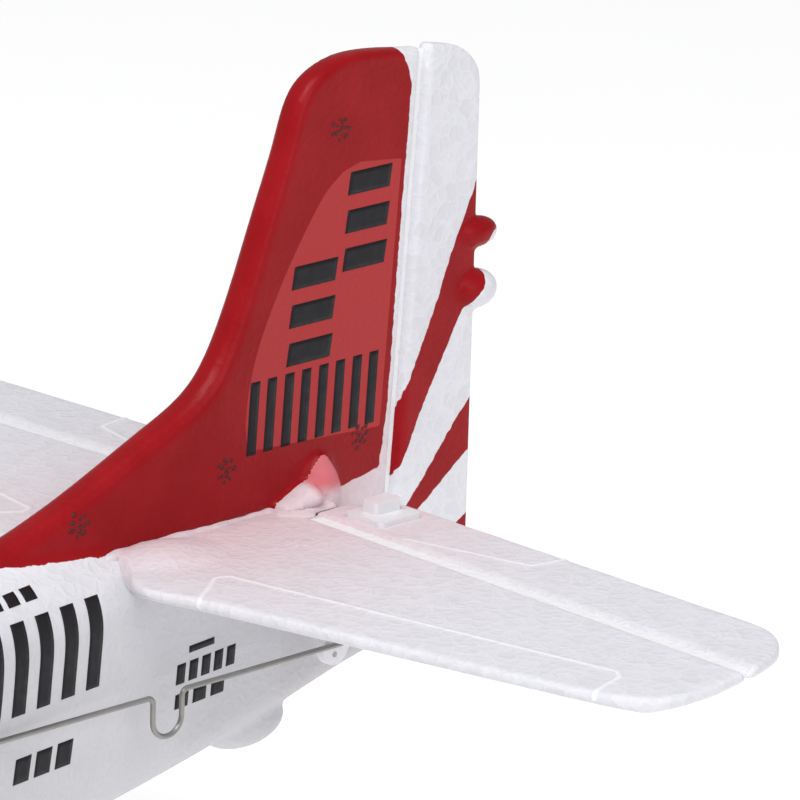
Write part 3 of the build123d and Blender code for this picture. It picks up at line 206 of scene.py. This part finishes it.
# ---------------------------------------------------------------- foam as fields of distance
def cad_mesh(name):
    """Points, in millimetres, and triangles of a CAD node."""
    mesh = frame["nodes"][name].data
    mesh.calc_loop_triangles()
    points = np.empty(len(mesh.vertices) * 3, np.float32)
    mesh.vertices.foreach_get("co", points)
    corners = np.empty(len(mesh.loop_triangles) * 3, np.int32)
    mesh.loop_triangles.foreach_get("vertices", corners)
    return points.reshape(-1, 3) / MM, corners.reshape(-1, 3).astype(np.uint32)


def blurred(field, sigma):
    """The field after a Gaussian blur of sigma cells."""
    reach = max(1, int(np.ceil(2.5 * sigma)))
    weights = np.exp(-0.5 * (np.arange(-reach, reach + 1) / sigma) ** 2)
    weights = (weights / weights.sum()).astype(np.float32)
    for axis in range(3):
        padded = np.pad(field, [(reach, reach) if a == axis else (0, 0) for a in range(3)], mode="edge")
        length = field.shape[axis]
        field = sum(
            w * np.take(padded, range(i, i + length), axis=axis) for i, w in enumerate(weights)
        )
    return field


def union(a, b, radius):
    """Two distance fields joined by a fillet of about radius."""
    share = np.clip(0.5 + 0.5 * (b - a) / radius, 0, 1)
    return b + (a - b) * share - radius * share * (1 - share)


class Foam:
    """A block of foam held as signed distances, in millimetres, on a grid; negative inside."""

    def __init__(self, low, high, voxel, band=4.0):
        self.voxel, self.band = voxel, band
        self.first = np.floor(np.array(low) / voxel).astype(int)
        self.shape = tuple((np.ceil(np.array(high) / voxel).astype(int) - self.first + 1).tolist())
        self.field = np.full(self.shape, band, np.float32)

    def axes(self):
        """Coordinates of the grid's points, shaped to broadcast."""
        lines = [(self.first[a] + np.arange(self.shape[a])) * self.voxel for a in range(3)]
        return [line.astype(np.float32).reshape([-1 if a == b else 1 for b in range(3)])
                for a, line in enumerate(lines)]

    def measured(self, points, triangles):
        grid = vdb.FloatGrid.createLevelSetFromPolygons(
            points.astype(np.float32), triangles=triangles,
            transform=vdb.createLinearTransform(voxelSize=self.voxel), halfWidth=self.band / self.voxel,
        )
        out = np.empty(self.shape, np.float32)
        grid.copyToArray(out, ijk=tuple(int(i) for i in self.first))
        return out

    def add(self, name, lap=0.0):
        """Adds a CAD node, with its faces on the centre plane pushed over by lap to meet the other half."""
        points, triangles = cad_mesh(name)
        if lap:
            points[np.abs(points[:, 0]) < 1e-3, 0] = lap
        self.field = np.minimum(self.field, self.measured(points, triangles))

    def add_ellipsoid(self, centre, radii, blend):
        x, y, z = self.axes()
        cx, cy, cz = np.array(centre)
        rx, ry, rz = radii
        k0 = np.sqrt(((x - cx) / rx) ** 2 + ((y - cy) / ry) ** 2 + ((z - cz) / rz) ** 2)
        k1 = np.sqrt(((x - cx) / rx**2) ** 2 + ((y - cy) / ry**2) ** 2 + ((z - cz) / rz**2) ** 2)
        self.field = union(self.field, k0 * (k0 - 1) / np.maximum(k1, 1e-6), blend)

    def add_cone(self, start, end, r_start, r_end, blend):
        """A cone with round ends, flattened to half its width across X."""
        x, y, z = self.axes()
        line = end - start
        px, py, pz = 2 * (x - start[0]), y - start[1], z - start[2]
        share = np.clip((px * 2 * line[0] + py * line[1] + pz * line[2]) / (line @ line), 0, 1)
        dx, dy, dz = px - 2 * line[0] * share, py - line[1] * share, pz - line[2] * share
        away = np.sqrt(dx**2 + dy**2 + dz**2)
        self.field = union(self.field, 0.7 * (away - (r_start + (r_end - r_start) * share)), blend)

    def soften(self, edge, fillet=0.0, grow=0.0):
        """Rounds edges by edge, fills inner corners by the larger fillet, and swells the foam by grow."""
        softened = blurred(self.field, edge / self.voxel)
        if fillet:
            softened = np.minimum(softened, blurred(self.field, fillet / self.voxel))
        self.field = softened - grow

    def mesh(self):
        grid = vdb.FloatGrid(self.band)
        grid.transform = vdb.createLinearTransform(voxelSize=self.voxel)
        grid.copyFromArray(np.ascontiguousarray(self.field), ijk=tuple(int(i) for i in self.first))
        points, quads = grid.convertToQuads(0.0)
        return points, quads


def object_from(name, points, faces, material, slot, smooth=True):
    """A mesh object from points in millimetres."""
    mesh = bpy.data.meshes.new(name)
    mesh.vertices.add(len(points))
    mesh.vertices.foreach_set("co", (np.asarray(points, np.float32) * MM).ravel())
    sizes = np.array([len(f) for f in faces]) if not isinstance(faces, np.ndarray) else None
    if sizes is None:
        sizes, flat = np.full(len(faces), faces.shape[1]), faces.ravel()
    else:
        flat = np.concatenate([np.asarray(f) for f in faces])
    mesh.loops.add(len(flat))
    mesh.loops.foreach_set("vertex_index", flat.astype(np.int32))
    mesh.polygons.add(len(sizes))
    mesh.polygons.foreach_set("loop_start", (np.cumsum(sizes) - sizes).astype(np.int32))
    mesh.update(calc_edges=True)
    mesh.validate()
    mesh.polygons.foreach_set("use_smooth", np.full(len(mesh.polygons), smooth))
    mesh.materials.append(material)
    made = bpy.data.objects.new(name, mesh)
    bpy.context.scene.collection.objects.link(made)
    return made


def merged(parts):
    """One set of points and faces from several."""
    starts = np.cumsum([0] + [len(p) for p, _ in parts[:-1]])
    return np.vstack([p for p, _ in parts]), np.vstack([f + s for (_, f), s in zip(parts, starts)])


def store(obj, name, values):
    """Keeps one number at each point of a mesh for its material."""
    obj.data.attributes.new(name, "FLOAT", "POINT").data.foreach_set("value", np.asarray(values, np.float32))


def points_of(obj):
    """The mesh's points in millimetres."""
    out = np.empty(len(obj.data.vertices) * 3, np.float32)
    obj.data.vertices.foreach_get("co", out)
    return out.reshape(-1, 3) / MM


def outline_distance(points, outline):
    """Signed distance of plane points to a closed outline, negative inside."""
    outline = np.asarray(outline, float)
    nearest = np.full(len(points), 1e9)
    inside = np.zeros(len(points), bool)
    for start, end in zip(outline, np.roll(outline, -1, axis=0)):
        line, offset = end - start, points - start
        share = np.clip(offset @ line / (line @ line), 0, 1)
        nearest = np.minimum(nearest, ((offset - share[:, None] * line) ** 2).sum(1))
        above, below = points[:, 1] >= start[1], points[:, 1] < end[1]
        left = line[0] * offset[:, 1] > line[1] * offset[:, 0]
        inside ^= (above & below & left) | (~above & ~below & ~left)
    return np.where(inside, -1, 1) * np.sqrt(nearest)


def line_distance(x, y, route):
    """Distance of plane points to a polyline."""
    nearest = np.float32(1e9)
    for (ax, ay), (bx, by) in zip(route, route[1:]):
        dx, dy = bx - ax, by - ay
        share = np.clip(((x - ax) * dx + (y - ay) * dy) / (dx * dx + dy * dy), 0, 1)
        nearest = np.minimum(nearest, np.hypot(x - ax - share * dx, y - ay - share * dy))
    return nearest


def rounded(points, steps=6):
    """A smooth line through points."""
    points = np.asarray(points, float)
    ends = np.vstack([2 * points[0] - points[1], points, 2 * points[-1] - points[-2]])
    out = []
    for a, b, c, d in zip(ends, ends[1:], ends[2:], ends[3:]):
        for t in np.arange(steps) / steps:
            out.append(0.5 * (2 * b + (c - a) * t + (2 * a - 5 * b + 4 * c - d) * t**2
                              + (3 * b - a - 3 * c + d) * t**3))
    return [tuple(p) for p in out] + [tuple(points[-1])]


# ---------------------------------------------------------------- paint outlines, tail (y, z)
FIN_RED = (
    [(-100, 9), (-84, 5.4)]
    + rounded([(-72, 3.2), (-58.8, 1.8), (-42.1, 0.1), (-31.5, -2.1)])
    + [(-30, -2.4), (-12.8, -2.4), (-8, -1.4), (-3, 0.5), (5.4, 1.9)]
    + rounded([(5.6, 2.2), (6.3, 6.4), (7.1, 13.2), (8.4, 34), (9.6, 50), (9.5, 53.5), (8.3, 56.2),
               (6.6, 58.5)])
    + [(6, 64), (-100, 64)]
)
PATCH = [(0.5, 43.7), (8.3, 42.9), (5.5, 7.5), (-19.2, 8.9)] + rounded(
    [(-19.6, 12.5), (-19.1, 17.1), (-17.1, 23.3), (-12.5, 31.7), (-6.5, 39.9), (-2.6, 42.9)]
)
RAYS = [
    [(30, 40.6)]
    + rounded([(24.8, 40.6), (23.1, 37.8), (21.5, 34.4), (18.6, 28.9), (15.2, 21.1), (11.5, 13.9),
               (9.4, 9.1), (8.8, 4.4), (8.0, -0.9)])
    + rounded([(8.3, -1.0), (10.9, 3.4), (13.2, 7.9), (16.3, 13.0), (18.7, 16.9), (21.7, 21.5), (24.0, 24.6),
               (24.4, 26.5), (24.7, 29.5), (25.4, 30.6)]) + [(30, 30.8)],
    rounded([(25.0, 10.2), (22.2, 7.2), (20.6, 5.8), (17.8, 2.8), (15.0, -0.3), (12.6, -2.8), (10.8, -4.6),
             (7.6, -8.0)])
    + rounded([(7.6, -9.2), (13.1, -5.6), (15.2, -4.2), (17.2, -2.9), (19.3, -1.4), (22.3, 0.4),
               (25.0, 2.0)]),
    rounded([(25.0, -6.9), (22.4, -8.2), (20.9, -9.0), (14.0, -12.4), (7.0, -15.8)])
    + rounded([(7.0, -17.4), (14.0, -15.6), (25.0, -13.2)]),
]


def paint(obj, *outlines):
    """Stores how far each point is from the red paint's border."""
    plane = points_of(obj)[:, 1:] - TAIL[1:]
    store(obj, "red", np.min([outline_distance(plane, o) for o in outlines], axis=0))
    store(obj, "patch", outline_distance(plane, PATCH))


foam_painted = foam_graph("white_and_red_foam", painted=True)
foam_lined = foam_graph("white_foam_with_lines", raised=True)
foam_white = foam_graph("white_foam")
cad = frame["nodes"]


def foam_object(name, blocks, material, body, replaced, slot="white_foam"):
    """One mesh from several blocks of foam."""
    made = object_from(name, *merged([block.mesh() for block in blocks]), material, slot)
    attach(made, body)
    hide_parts(*replaced)
    return made


# ---------------------------------------------------------------- fuselage and fin
SEAM_Y = 66.0
FLANK_LUMPS = [(-13.6, 0.9, 0.9), (-12.2, 1.3, 1.2), (-10.6, 1.7, 1.5), (-9.4, 2.0, 1.6)]  # y, z, size
front = Foam((-26, -123, 26), (26, SEAM_Y + 4, 84), 0.7)
rear = Foam((-14, SEAM_Y - 4, 26), (14, 151, 130), 0.4)
for block, low, high in ((front, -200, SEAM_Y + 0.5), (rear, SEAM_Y - 0.5, 200)):
    block.add("fuselage_port", -0.3)
    block.add("fuselage_starboard", 0.3)
front.soften(0.5)
rear.soften(0.45, 1.3)
for side in (1, -1):  # swept fairing at the foot of the fin, with a lumpy flank in front
    rear.add_cone(TAIL + (3.1 * side, -6.9, -0.2), TAIL + (2.7 * side, -6.0, 5.2), 3.3, 0.9, 0.6)
    for step, (y, z, size) in enumerate(FLANK_LUMPS):
        x = 3.0 + 0.3 * (step % 2)
        rear.add_ellipsoid(TAIL + (x * side, y, z - 0.5), (size + 1.2, size, size), 0.7)
rear.add_ellipsoid(TAIL + (0, -17.2, -28.4), (2.4, 6.2, 3.0), 2.0)
for block, low, high in ((front, -200, SEAM_Y + 0.5), (rear, SEAM_Y - 0.5, 200)):
    y = block.axes()[1]
    block.field = np.maximum(block.field, np.maximum(low - y, y - high))
fuselage = foam_object("fuselage_foam", [front, rear], foam_painted, "airframe",
                       ["fuselage_port", "fuselage_starboard"])
paint(fuselage, FIN_RED)
place = points_of(fuselage) - TAIL
fairing = (np.abs(place[:, 0]) > 2.72) & (place[:, 1] > -14.6) & (place[:, 1] < -2.2) & (place[:, 2] < 6.8)
reds = np.empty(len(place), np.float32)
fuselage.data.attributes["red"].data.foreach_get("value", reds)
fuselage.data.attributes["red"].data.foreach_set("value", np.where(fairing & (place[:, 2] > -2.6), 2.0, reds))
# the fairing's own pink, stronger at its crest; near the fin a painted reflection of the red fin on the white
# foam
crest = np.clip((place[:, 2] - 1.2) / 1.6, 0, 1) * np.clip((place[:, 1] + 10.2) / 1.4, 0, 1)
fin_red_reflection = np.clip(1 - np.hypot(place[:, 1] + 4, place[:, 2]) / 26, 0, 1)
fin_red_reflection *= np.clip((place[:, 2] + 5) / 3, 0, 1)
store(fuselage, "pink_and_red_reflection", np.where(fairing, 0.25 + 0.72 * crest, 0.35 * fin_red_reflection))
# painted shade on the fuselage flank below the tailplane, darker towards the bottom and fading out going
# forward
flank = np.clip((2 - place[:, 2]) / 9, 0, 1) * np.clip((place[:, 1] + 150) / 60, 0, 1)
store(fuselage, "painted_shade", flank * flank * (3 - 2 * flank))

# ---------------------------------------------------------------- tailplane, elevators and rudder
PANEL_LINES = [
    [(22.9, -46.6), (20.6, -43.0), (17.9, -39.2), (18.6, -37.4), (46, -32.55), (75.0, -27.4), (76.4, -28.6),
     (78.4, -35.6)],
    [(40.8, -0.4), (39.9, -5.6), (37.5, -6.3), (21.7, -9.9)],
]
LINE_HALF, LINE_RISE = 0.27, 0.16
VENTS = [(13.9, -21.4), (43.6, -24.9), (46.9, -5.6), (74.5, -7.0)]
for x, y in VENTS:
    for step in (-1.25, 0.0, 1.25):
        middle = np.array([x + 0.7 * step, y + 0.7 * step])
        PANEL_LINES.append([middle - (0.75, -0.75), middle + (0.75, -0.75)])


def tail_lines(block):
    """Raises the moulded lines on the top of the tailplane."""
    x, y, z = block.axes()
    nearest = np.min([line_distance(np.abs(x), y - TAIL[1], line) for line in PANEL_LINES], axis=0)
    ridge = LINE_RISE * np.exp(-((nearest / LINE_HALF) ** 2))
    block.field = block.field - ridge * (z > TAIL[2] - 1.2)


def line_attributes(obj):
    place = points_of(obj) - TAIL
    x, y = np.abs(place[:, 0]), place[:, 1]
    nearest = np.min([line_distance(x, y, line) for line in PANEL_LINES[:2]], axis=0)
    store(obj, "line", np.where(place[:, 2] > -1.2, nearest, 9.0))
    # painted reflection of the red fin: a pink tint on the tailplane's top near its root
    reach = np.hypot(np.maximum(x - 2.0, 0) / 24.0, np.maximum(0, -y - 34) / 12.0)
    store(obj, "pink_and_red_reflection", 0.26 * np.exp(-(reach**2)) * (place[:, 2] > -2.0))


stab = Foam((-91, 88, 60), (91, 130, 72), 0.32, 3.0)
stab.add("tailplane")
stab.soften(0.36, grow=0.05)
for side in (1, -1):  # the thick rounded shoulder at the root
    stab.add_ellipsoid(TAIL + (7.0 * side, -37.0, -1.6), (5.6, 6.8, 2.7), 2.0)
tail_lines(stab)
stab_foam = foam_object("tailplane_foam", [stab], foam_lined, "airframe", ["tailplane"])
line_attributes(stab_foam)


def skin_x(y, z):
    """Half width of the fuselage at a point of its side, tail (y, z)."""
    i, k = [int(round((TAIL[a] + v) / rear.voxel)) - int(rear.first[a]) for a, v in ((1, y), (2, z))]
    inside = np.flatnonzero(rear.field[:, i, k] < 0)
    return (inside[-1] + int(rear.first[0])) * rear.voxel


root = Foam((-14, 88, 63), (14, 131, 72), 0.35, 3.0)
for y in np.arange(-43.5, -14.0, 1.5):
    size = random.uniform(0.75, 1.05)
    x = skin_x(y, 0.6) + random.uniform(-0.2, 0.1)
    for side in (1, -1):
        root.add_ellipsoid(TAIL + (side * x, y, -0.35), (size, 1.5, size), 0.6)
for y in np.arange(-14.0, -3.5, 1.3):  # the cap over the elevator joiner's slot
    for side in (1, -1):
        root.add_ellipsoid(TAIL + (side * 3.9, y, -0.05), (2.1, 1.6, 0.6), 0.5)
for side in (1, -1):
    root.add_ellipsoid(TAIL + (side * 5.3, -12.2, -0.1), (2.0, 1.9, 0.5), 0.5)
root_foam = object_from("tailplane_root_foam", *root.mesh(), foam_lined, "white_foam")
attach(root_foam, "airframe")
line_attributes(root_foam)

for side, name in ((1, "elevator_port"), (-1, "elevator_starboard")):
    low, high = sorted((side * 4.0, side * 91.0))
    block = Foam((low, 117, 62), (high, 141, 71), 0.32, 3.0)
    block.add(name)
    block.soften(0.34, grow=0.12)
    tail_lines(block)
    made = foam_object(name + "_foam", [block], foam_lined, "elevator", [name])
    line_attributes(made)

fin_rudder = Foam((-5, 140, 42), (5, 168, 129), 0.3, 3.0)
fin_rudder.add("rudder")
fin_rudder.soften(0.26)
rudder_foam = foam_object("rudder_foam", [fin_rudder], foam_painted, "rudder", ["rudder"])
paint(rudder_foam, *RAYS)
store(rudder_foam, "patch", np.full(len(rudder_foam.data.vertices), 9.0))

# ---------------------------------------------------------------- wings and ailerons
WING_TIP_RED = 184.0
for side, end in ((1, "port"), (-1, "starboard")):
    for name, body, bottom, top in (
        ("wing_" + end, "airframe", -84, 8), ("aileron_" + end, "aileron_" + end, -30, 2)
    ):
        reach = sorted((side * (-1.4 if body == "airframe" else 96.0), side * 202.0))
        block = Foam((reach[0], bottom, 28), (reach[1], top, 69), 0.6)
        block.add(name)
        block.soften(0.42)
        made = foam_object(name + "_foam", [block], foam_painted, body, [name])
        store(made, "red", WING_TIP_RED - np.abs(points_of(made)[:, 0]))
        store(made, "patch", np.full(len(made.data.vertices), 9.0))

hatch = Foam((-18, -77, 66), (18, 19, 81), 0.5)
hatch.add("hatch_base")
hatch.soften(0.4)
foam_object("hatch_foam", [hatch], foam_white, "canopy_hatch", ["hatch_base"])

# ---------------------------------------------------------------- hinge webs, marks and moulding spots
def slab(over, under):
    """Points and quads of a closed slab between two grids of points, each rows by columns by 3."""
    rows, columns = over.shape[:2]
    index = np.arange(rows * columns).reshape(rows, columns)
    a, b, c, d = index[:-1, :-1], index[1:, :-1], index[1:, 1:], index[:-1, 1:]
    top = np.stack([a, b, c, d], -1).reshape(-1, 4)
    rim = np.concatenate([index[0, :], index[1:, -1], index[-1, -2::-1], index[-2:0:-1, 0]])
    ahead, shift = np.roll(rim, -1), rows * columns
    side = np.stack([rim, ahead, ahead + shift, rim + shift], -1)
    points = np.vstack([over.reshape(-1, 3), under.reshape(-1, 3)])
    faces = np.vstack([top, top[:, ::-1] + shift, side])
    p, q, r, s = points[faces].transpose(1, 0, 2)
    outward = ((p - points[0]) * (np.cross(q - p, r - p) + np.cross(r - p, s - p))).sum() > 0
    return points, faces if outward else faces[:, ::-1]


def hinge_web(name, start, end, across, body, width, thick, flare=0.0):
    """The thin foam web that a surface bends about; flare widens its front at the far end."""
    start, end, across = np.array(start), np.array(end), np.array(across) / np.linalg.norm(across)
    up = np.cross(end - start, across)
    up *= 0.5 * thick / np.linalg.norm(up)
    along = np.linspace(0, 1, 60)[:, None, None]
    sides = np.linspace(-1, 1, 13)[None, :, None]
    reach = width * (1 + flare * np.clip((along - 0.94) / 0.06, 0, 1) ** 2 * (sides < 0))
    middle = start + along * (end - start) + sides * reach * across
    made = object_from(name, *slab(middle + up, middle - up), foam_lined, "white_foam")
    # the web takes the white of the lines' painted highlight, here for the bright hinge band
    store(made, "line", np.zeros(len(made.data.vertices)))  # the bright white of the moulded lines
    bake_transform(made)


def rudder_line(z):
    return TAIL + (0, RUDDER_HINGE_Y + RUDDER_LEAN * z, z)


hinge_web(
    "rudder_hinge_web", rudder_line(-20.6), rudder_line(56.6), (0, 1, -RUDDER_LEAN), "rudder", 1.0, 0.55
)
AILERON_SWEEP = 0.078
for side, end in ((1, "port"), (-1, "starboard")):
    stab_line = [TAIL + (side * x, HINGE_ROOT + HINGE_SWEEP * x, -0.75) for x in (6.6, 83.6)]
    across = (side * -HINGE_SWEEP, 1, 0)
    hinge_web("elevator_hinge_web_" + end, *stab_line, across, "elevator", 1.5, 1.0, 1.0)
    wing_line = [(side * x, y, z) for x, y, z in ((98.2, -23.42, 48.52), (183.8, -30.08, 60.36))]
    across = (side * AILERON_SWEEP, 1, 0)
    hinge_web("aileron_hinge_web_" + end, *wing_line, across, "aileron_" + end, 1.4, 0.7)

airframe_skin = BVHTree.FromObject(fuselage, bpy.context.evaluated_depsgraph_get())
FILM = 0.035  # how proud of the skin the marks stand


def on_skin(y, z, side):
    """Where a line along X meets the fuselage or fin from one side, and the skin's normal there.

    Where that side has an opening, the other side's skin is mirrored.
    """
    for from_side in (side, -side):
        start = Vector((from_side * 0.1, y * MM, z * MM))
        hit, normal = airframe_skin.ray_cast(start, Vector((-from_side, 0, 0)))[:2]
        if hit.x * from_side > 0:
            flip = np.array([side * from_side, 1, 1])
            return np.array(hit) / MM * flip, np.array(normal) * flip


def film(corners, side, step=0.7):
    """A thin printed patch laid on the skin: corners (y, z) go round it."""
    corners = np.array(corners, float)
    lengths = [np.linalg.norm(corners[far] - corners[0]) for far in (1, 3)]
    u, v = [np.linspace(0, 1, max(2, int(np.ceil(length / step)) + 1)) for length in lengths]
    over, under = np.empty((2, len(u), len(v), 3))
    for i, s in enumerate(u):
        for j, t in enumerate(v):
            y, z = ((1 - s) * (1 - t) * corners[0] + s * (1 - t) * corners[1] + s * t * corners[2]
                    + (1 - s) * t * corners[3])
            place, normal = on_skin(y, z, side)
            over[i, j], under[i, j] = place + FILM * normal, place - 2 * FILM * normal
    return slab(over, under)


def bar(y0, y1, z0, z1, lean=0.0):
    """Corners of an upright bar whose top leans aft by lean."""
    return [(y0, z0), (y1, z0), (y1 + lean, z1), (y0 + lean, z1)]


BODY_MARKS = (
    [bar(y, y + 2.5, 54.4, 65.6, 1.2) for y in (47.6, 52.2, 56.8, 61.4, 66.0, 70.6, 75.2, 79.8, 84.4)]
    + [bar(y, y + 2.2, 67.1, 68.3, 0.2) for y in (63.4, 66.6, 69.8, 73.0, 76.2)]
    + [bar(y, y + 2.9, 45.6, 48.8, 0.6) for y in (70.9, 74.8, 78.7)]
    + [bar(104.4, 109.4, 54.3, 55.2)]
    + [bar(y, y + 1.7, 50.6, 53.2, 0.3) for y in (101.8, 104.3, 106.8, 109.3, 111.8)]
    + [bar(y, y + 2.6, 47.4, 49.3, 0.2) for y in (101.6, 105.2, 108.8)]
)
FIN_MARKS = (
    [bar(-2.4 + 0.35 * n, 5.4 + 0.35 * n, 29.6 + 5.0 * n, 32.6 + 5.0 * n, 0.5) for n in range(3)]
    + [bar(-12.4 + 0.35 * n, -4.4 + 0.35 * n, 18.8 + 5.0 * n, 21.8 + 5.0 * n, 0.5) for n in range(3)]
    + [bar(y + d, y + d + 1.7, 8.3, 17.9, 0.6) for y in (-19.4, -13.1, -6.8, -0.5) for d in (0, 3.1)]
)
ink = plain_graph("black_print", (0.012, 0.010, 0.013, 1), 0.5, 3, 0.3, 0.01, Specular_IOR_Level=0.25)
for side, end in ((1, "port"), (-1, "starboard")):
    corners = BODY_MARKS + [[(y + TAIL[1], z + TAIL[2]) for y, z in mark] for mark in FIN_MARKS]
    made = object_from("marks_" + end, *merged([film(c, side) for c in corners]), ink, "black_marking")
    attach(made, "airframe")

# clusters of moulding pits, tail (y, z): five round one, and seven further out; each pit is a flat dark red
# disc of painted shade
SPOTS = [(-3.3, 48.6), (-23.1, 7.3), (-48.2, 5.0), (1.8, 6.9)]
PIT_OUTLINE = ((-1, -0.6), (0.7, -1), (1, 0.7), (-0.7, 1))
pit_shade = plain_graph("pit_shade_red", (0.13, 0.004, 0.006, 1), 0.7, 2, 0.3, 0)
pit_shade_discs = []
for side in (1, -1):
    for y, z in SPOTS:
        for turn in range(13):
            away, angle = (0, 0) if turn == 12 else (0.8, 72 * turn) if turn < 5 else (1.45, 51.4 * turn)
            dy, dz = away * cos(radians(angle)), away * sin(radians(angle))
            size = random.uniform(0.2, 0.4)
            dy, dz = dy + random.uniform(-0.2, 0.2), dz + random.uniform(-0.2, 0.2)
            corners = [(TAIL[1] + y + dy + size * a, TAIL[2] + z + dz + size * b) for a, b in PIT_OUTLINE]
            pit_shade_discs.append(film(corners, side))
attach(object_from("moulding_pit_shades", *merged(pit_shade_discs), pit_shade, "red_paint"), "airframe")

# ---------------------------------------------------------------- finishes of the CAD nodes
FINISHES = {
    "smoked_glazing": plain_graph("smoked_glazing", (0.018, 0.026, 0.04, 1), 0.08, 12, 0.2, 0,
                                  Coat_Weight=0.6),
    "white_plastic": plain_graph("white_plastic", (0.76, 0.76, 0.745, 1), 0.32, 6, 0.06, 0.004),
    "black_plastic": plain_graph("black_plastic", (0.022, 0.022, 0.024, 1), 0.42, 6, 0.2, 0.01),
    "red_plastic": plain_graph("red_plastic", (0.36, 0.012, 0.014, 1), 0.18, 9, 0.08, 0.002, Coat_Weight=0.5),
    "natural_nylon": plain_graph("natural_nylon", (0.86, 0.85, 0.88, 1), 0.36, 3, 0.05, 0.006,
                                 Subsurface_Weight=0.3, Subsurface_Scale=0.001),
    "spring_steel": plain_graph("spring_steel", (0.36, 0.345, 0.33, 1), 0.38, 2, 0.25, 0.004, Metallic=1.0),
    "carbon_strip": plain_graph("carbon_strip", (0.03, 0.03, 0.032, 1), 0.3, 0.8, 0.4, 0.01),
    "plywood": plain_graph("plywood", (0.58, 0.40, 0.23, 1), 0.62, 2.2, 0.3, 0.03),
    "tyre_foam": plain_graph("tyre_foam", (0.026, 0.026, 0.028, 1), 0.85, 1.5, 0.35, 0.09),
    "servo_blue": plain_graph("servo_blue", (0.02, 0.065, 0.24, 1), 0.22, 6, 0.1, 0.002),
    "motor_can": plain_graph("motor_can", (0.58, 0.58, 0.59, 1), 0.24, 3, 0.1, 0.002, Metallic=1.0),
    "brass": plain_graph("brass", (0.72, 0.50, 0.19, 1), 0.27, 3, 0.12, 0.003, Metallic=1.0),
    "circuit_board": plain_graph("circuit_board", (0.01, 0.15, 0.06, 1), 0.35, 2.5, 0.5, 0.01),
    "battery_wrap": plain_graph("battery_wrap", (0.055, 0.06, 0.075, 1), 0.22, 5, 0.2, 0.02),
    "black_strap": plain_graph("black_strap", (0.02, 0.02, 0.021, 1), 0.95, 0.7, 0.5, 0.12),
    "nickel": plain_graph("nickel", (0.74, 0.74, 0.75, 1), 0.14, 2, 0.06, 0.001, Metallic=1.0),
    "white_foam": foam_white,
}
slots = {s["node"]: s["material_slot"] for s in frame["record"]["subparts"]}
for name, node in cad.items():
    node.data.materials.clear()
    node.data.materials.append(FINISHES[slots[name]])

# ---------------------------------------------------------------- floor, light and camera
floor_mesh = bpy.data.meshes.new("floor")
floor_mesh.from_pydata([(-4, -4, 0), (4, -4, 0), (4, 4, 0), (-4, 4, 0)], [], [(0, 1, 2, 3)])
floor = bpy.data.objects.new("floor", floor_mesh)
bpy.context.scene.collection.objects.link(floor)
floor_graph = Graph("pale_floor", rough=0.9, Specular_IOR_Level=0.0)
floor_graph.feed(floor_graph.shader.inputs["Base Color"], floor_graph.mix(
    floor_graph.noise(60.0), (0.40, 0.40, 0.40, 1), (0.42, 0.42, 0.42, 1)))
floor_graph.shader.inputs["Emission Color"].default_value = (1, 1, 1, 1)
floor_graph.shader.inputs["Emission Strength"].default_value = 0.74
floor_mesh.materials.append(floor_graph.material)

world = bpy.data.worlds.new("studio")
world.use_nodes = True
sky = world.node_tree.nodes["Background"]
sky.inputs["Color"].default_value = (0.96, 0.97, 1.0, 1)
sky.inputs["Strength"].default_value = 0.36
bpy.context.scene.world = world

TARGET = Vector(TAIL * MM)


def softbox(name, offset, size, watts, colour=(1, 1, 1)):
    """An area light that faces the tail."""
    light = bpy.data.lights.new(name, "AREA")
    light.shape, light.size, light.size_y = "RECTANGLE", size[0], size[1]
    light.energy, light.color = watts, colour
    lamp = bpy.data.objects.new(name, light)
    lamp.location = TARGET + Vector(offset)
    lamp.rotation_euler = (-Vector(offset)).to_track_quat("-Z", "Y").to_euler()
    bpy.context.scene.collection.objects.link(lamp)


softbox("key", (0.15, -0.45, 0.85), (0.7, 0.5), 6.4)
softbox("fill", (0.9, -0.2, 0.45), (0.6, 0.6), 2.0)

# the viewpoint, about the tail's own point
AZIMUTH, ELEVATION, ROLL, FOCAL, SENSOR = radians(44.58), radians(16.14), radians(1.658), 270.4, 36.0
back = Vector((sin(AZIMUTH) * cos(ELEVATION), -cos(AZIMUTH) * cos(ELEVATION), sin(ELEVATION)))
level_right = Vector((cos(AZIMUTH), sin(AZIMUTH), 0))
level_up = back.cross(level_right)
right = cos(ROLL) * level_right + sin(ROLL) * level_up
up = cos(ROLL) * level_up - sin(ROLL) * level_right
lens = bpy.data.cameras.new("camera")
lens.lens, lens.sensor_width, lens.clip_start = FOCAL, SENSOR, 0.01
camera = bpy.data.objects.new("camera", lens)
camera.matrix_world = Matrix((right, up, back)).transposed().to_4x4()
camera.location = TARGET + (7.78 * right + 11.23 * up + 781.2 * back) * MM
bpy.context.scene.collection.objects.link(camera)
bpy.context.scene.camera = camera
bpy.context.scene.view_settings.view_transform = "Standard"
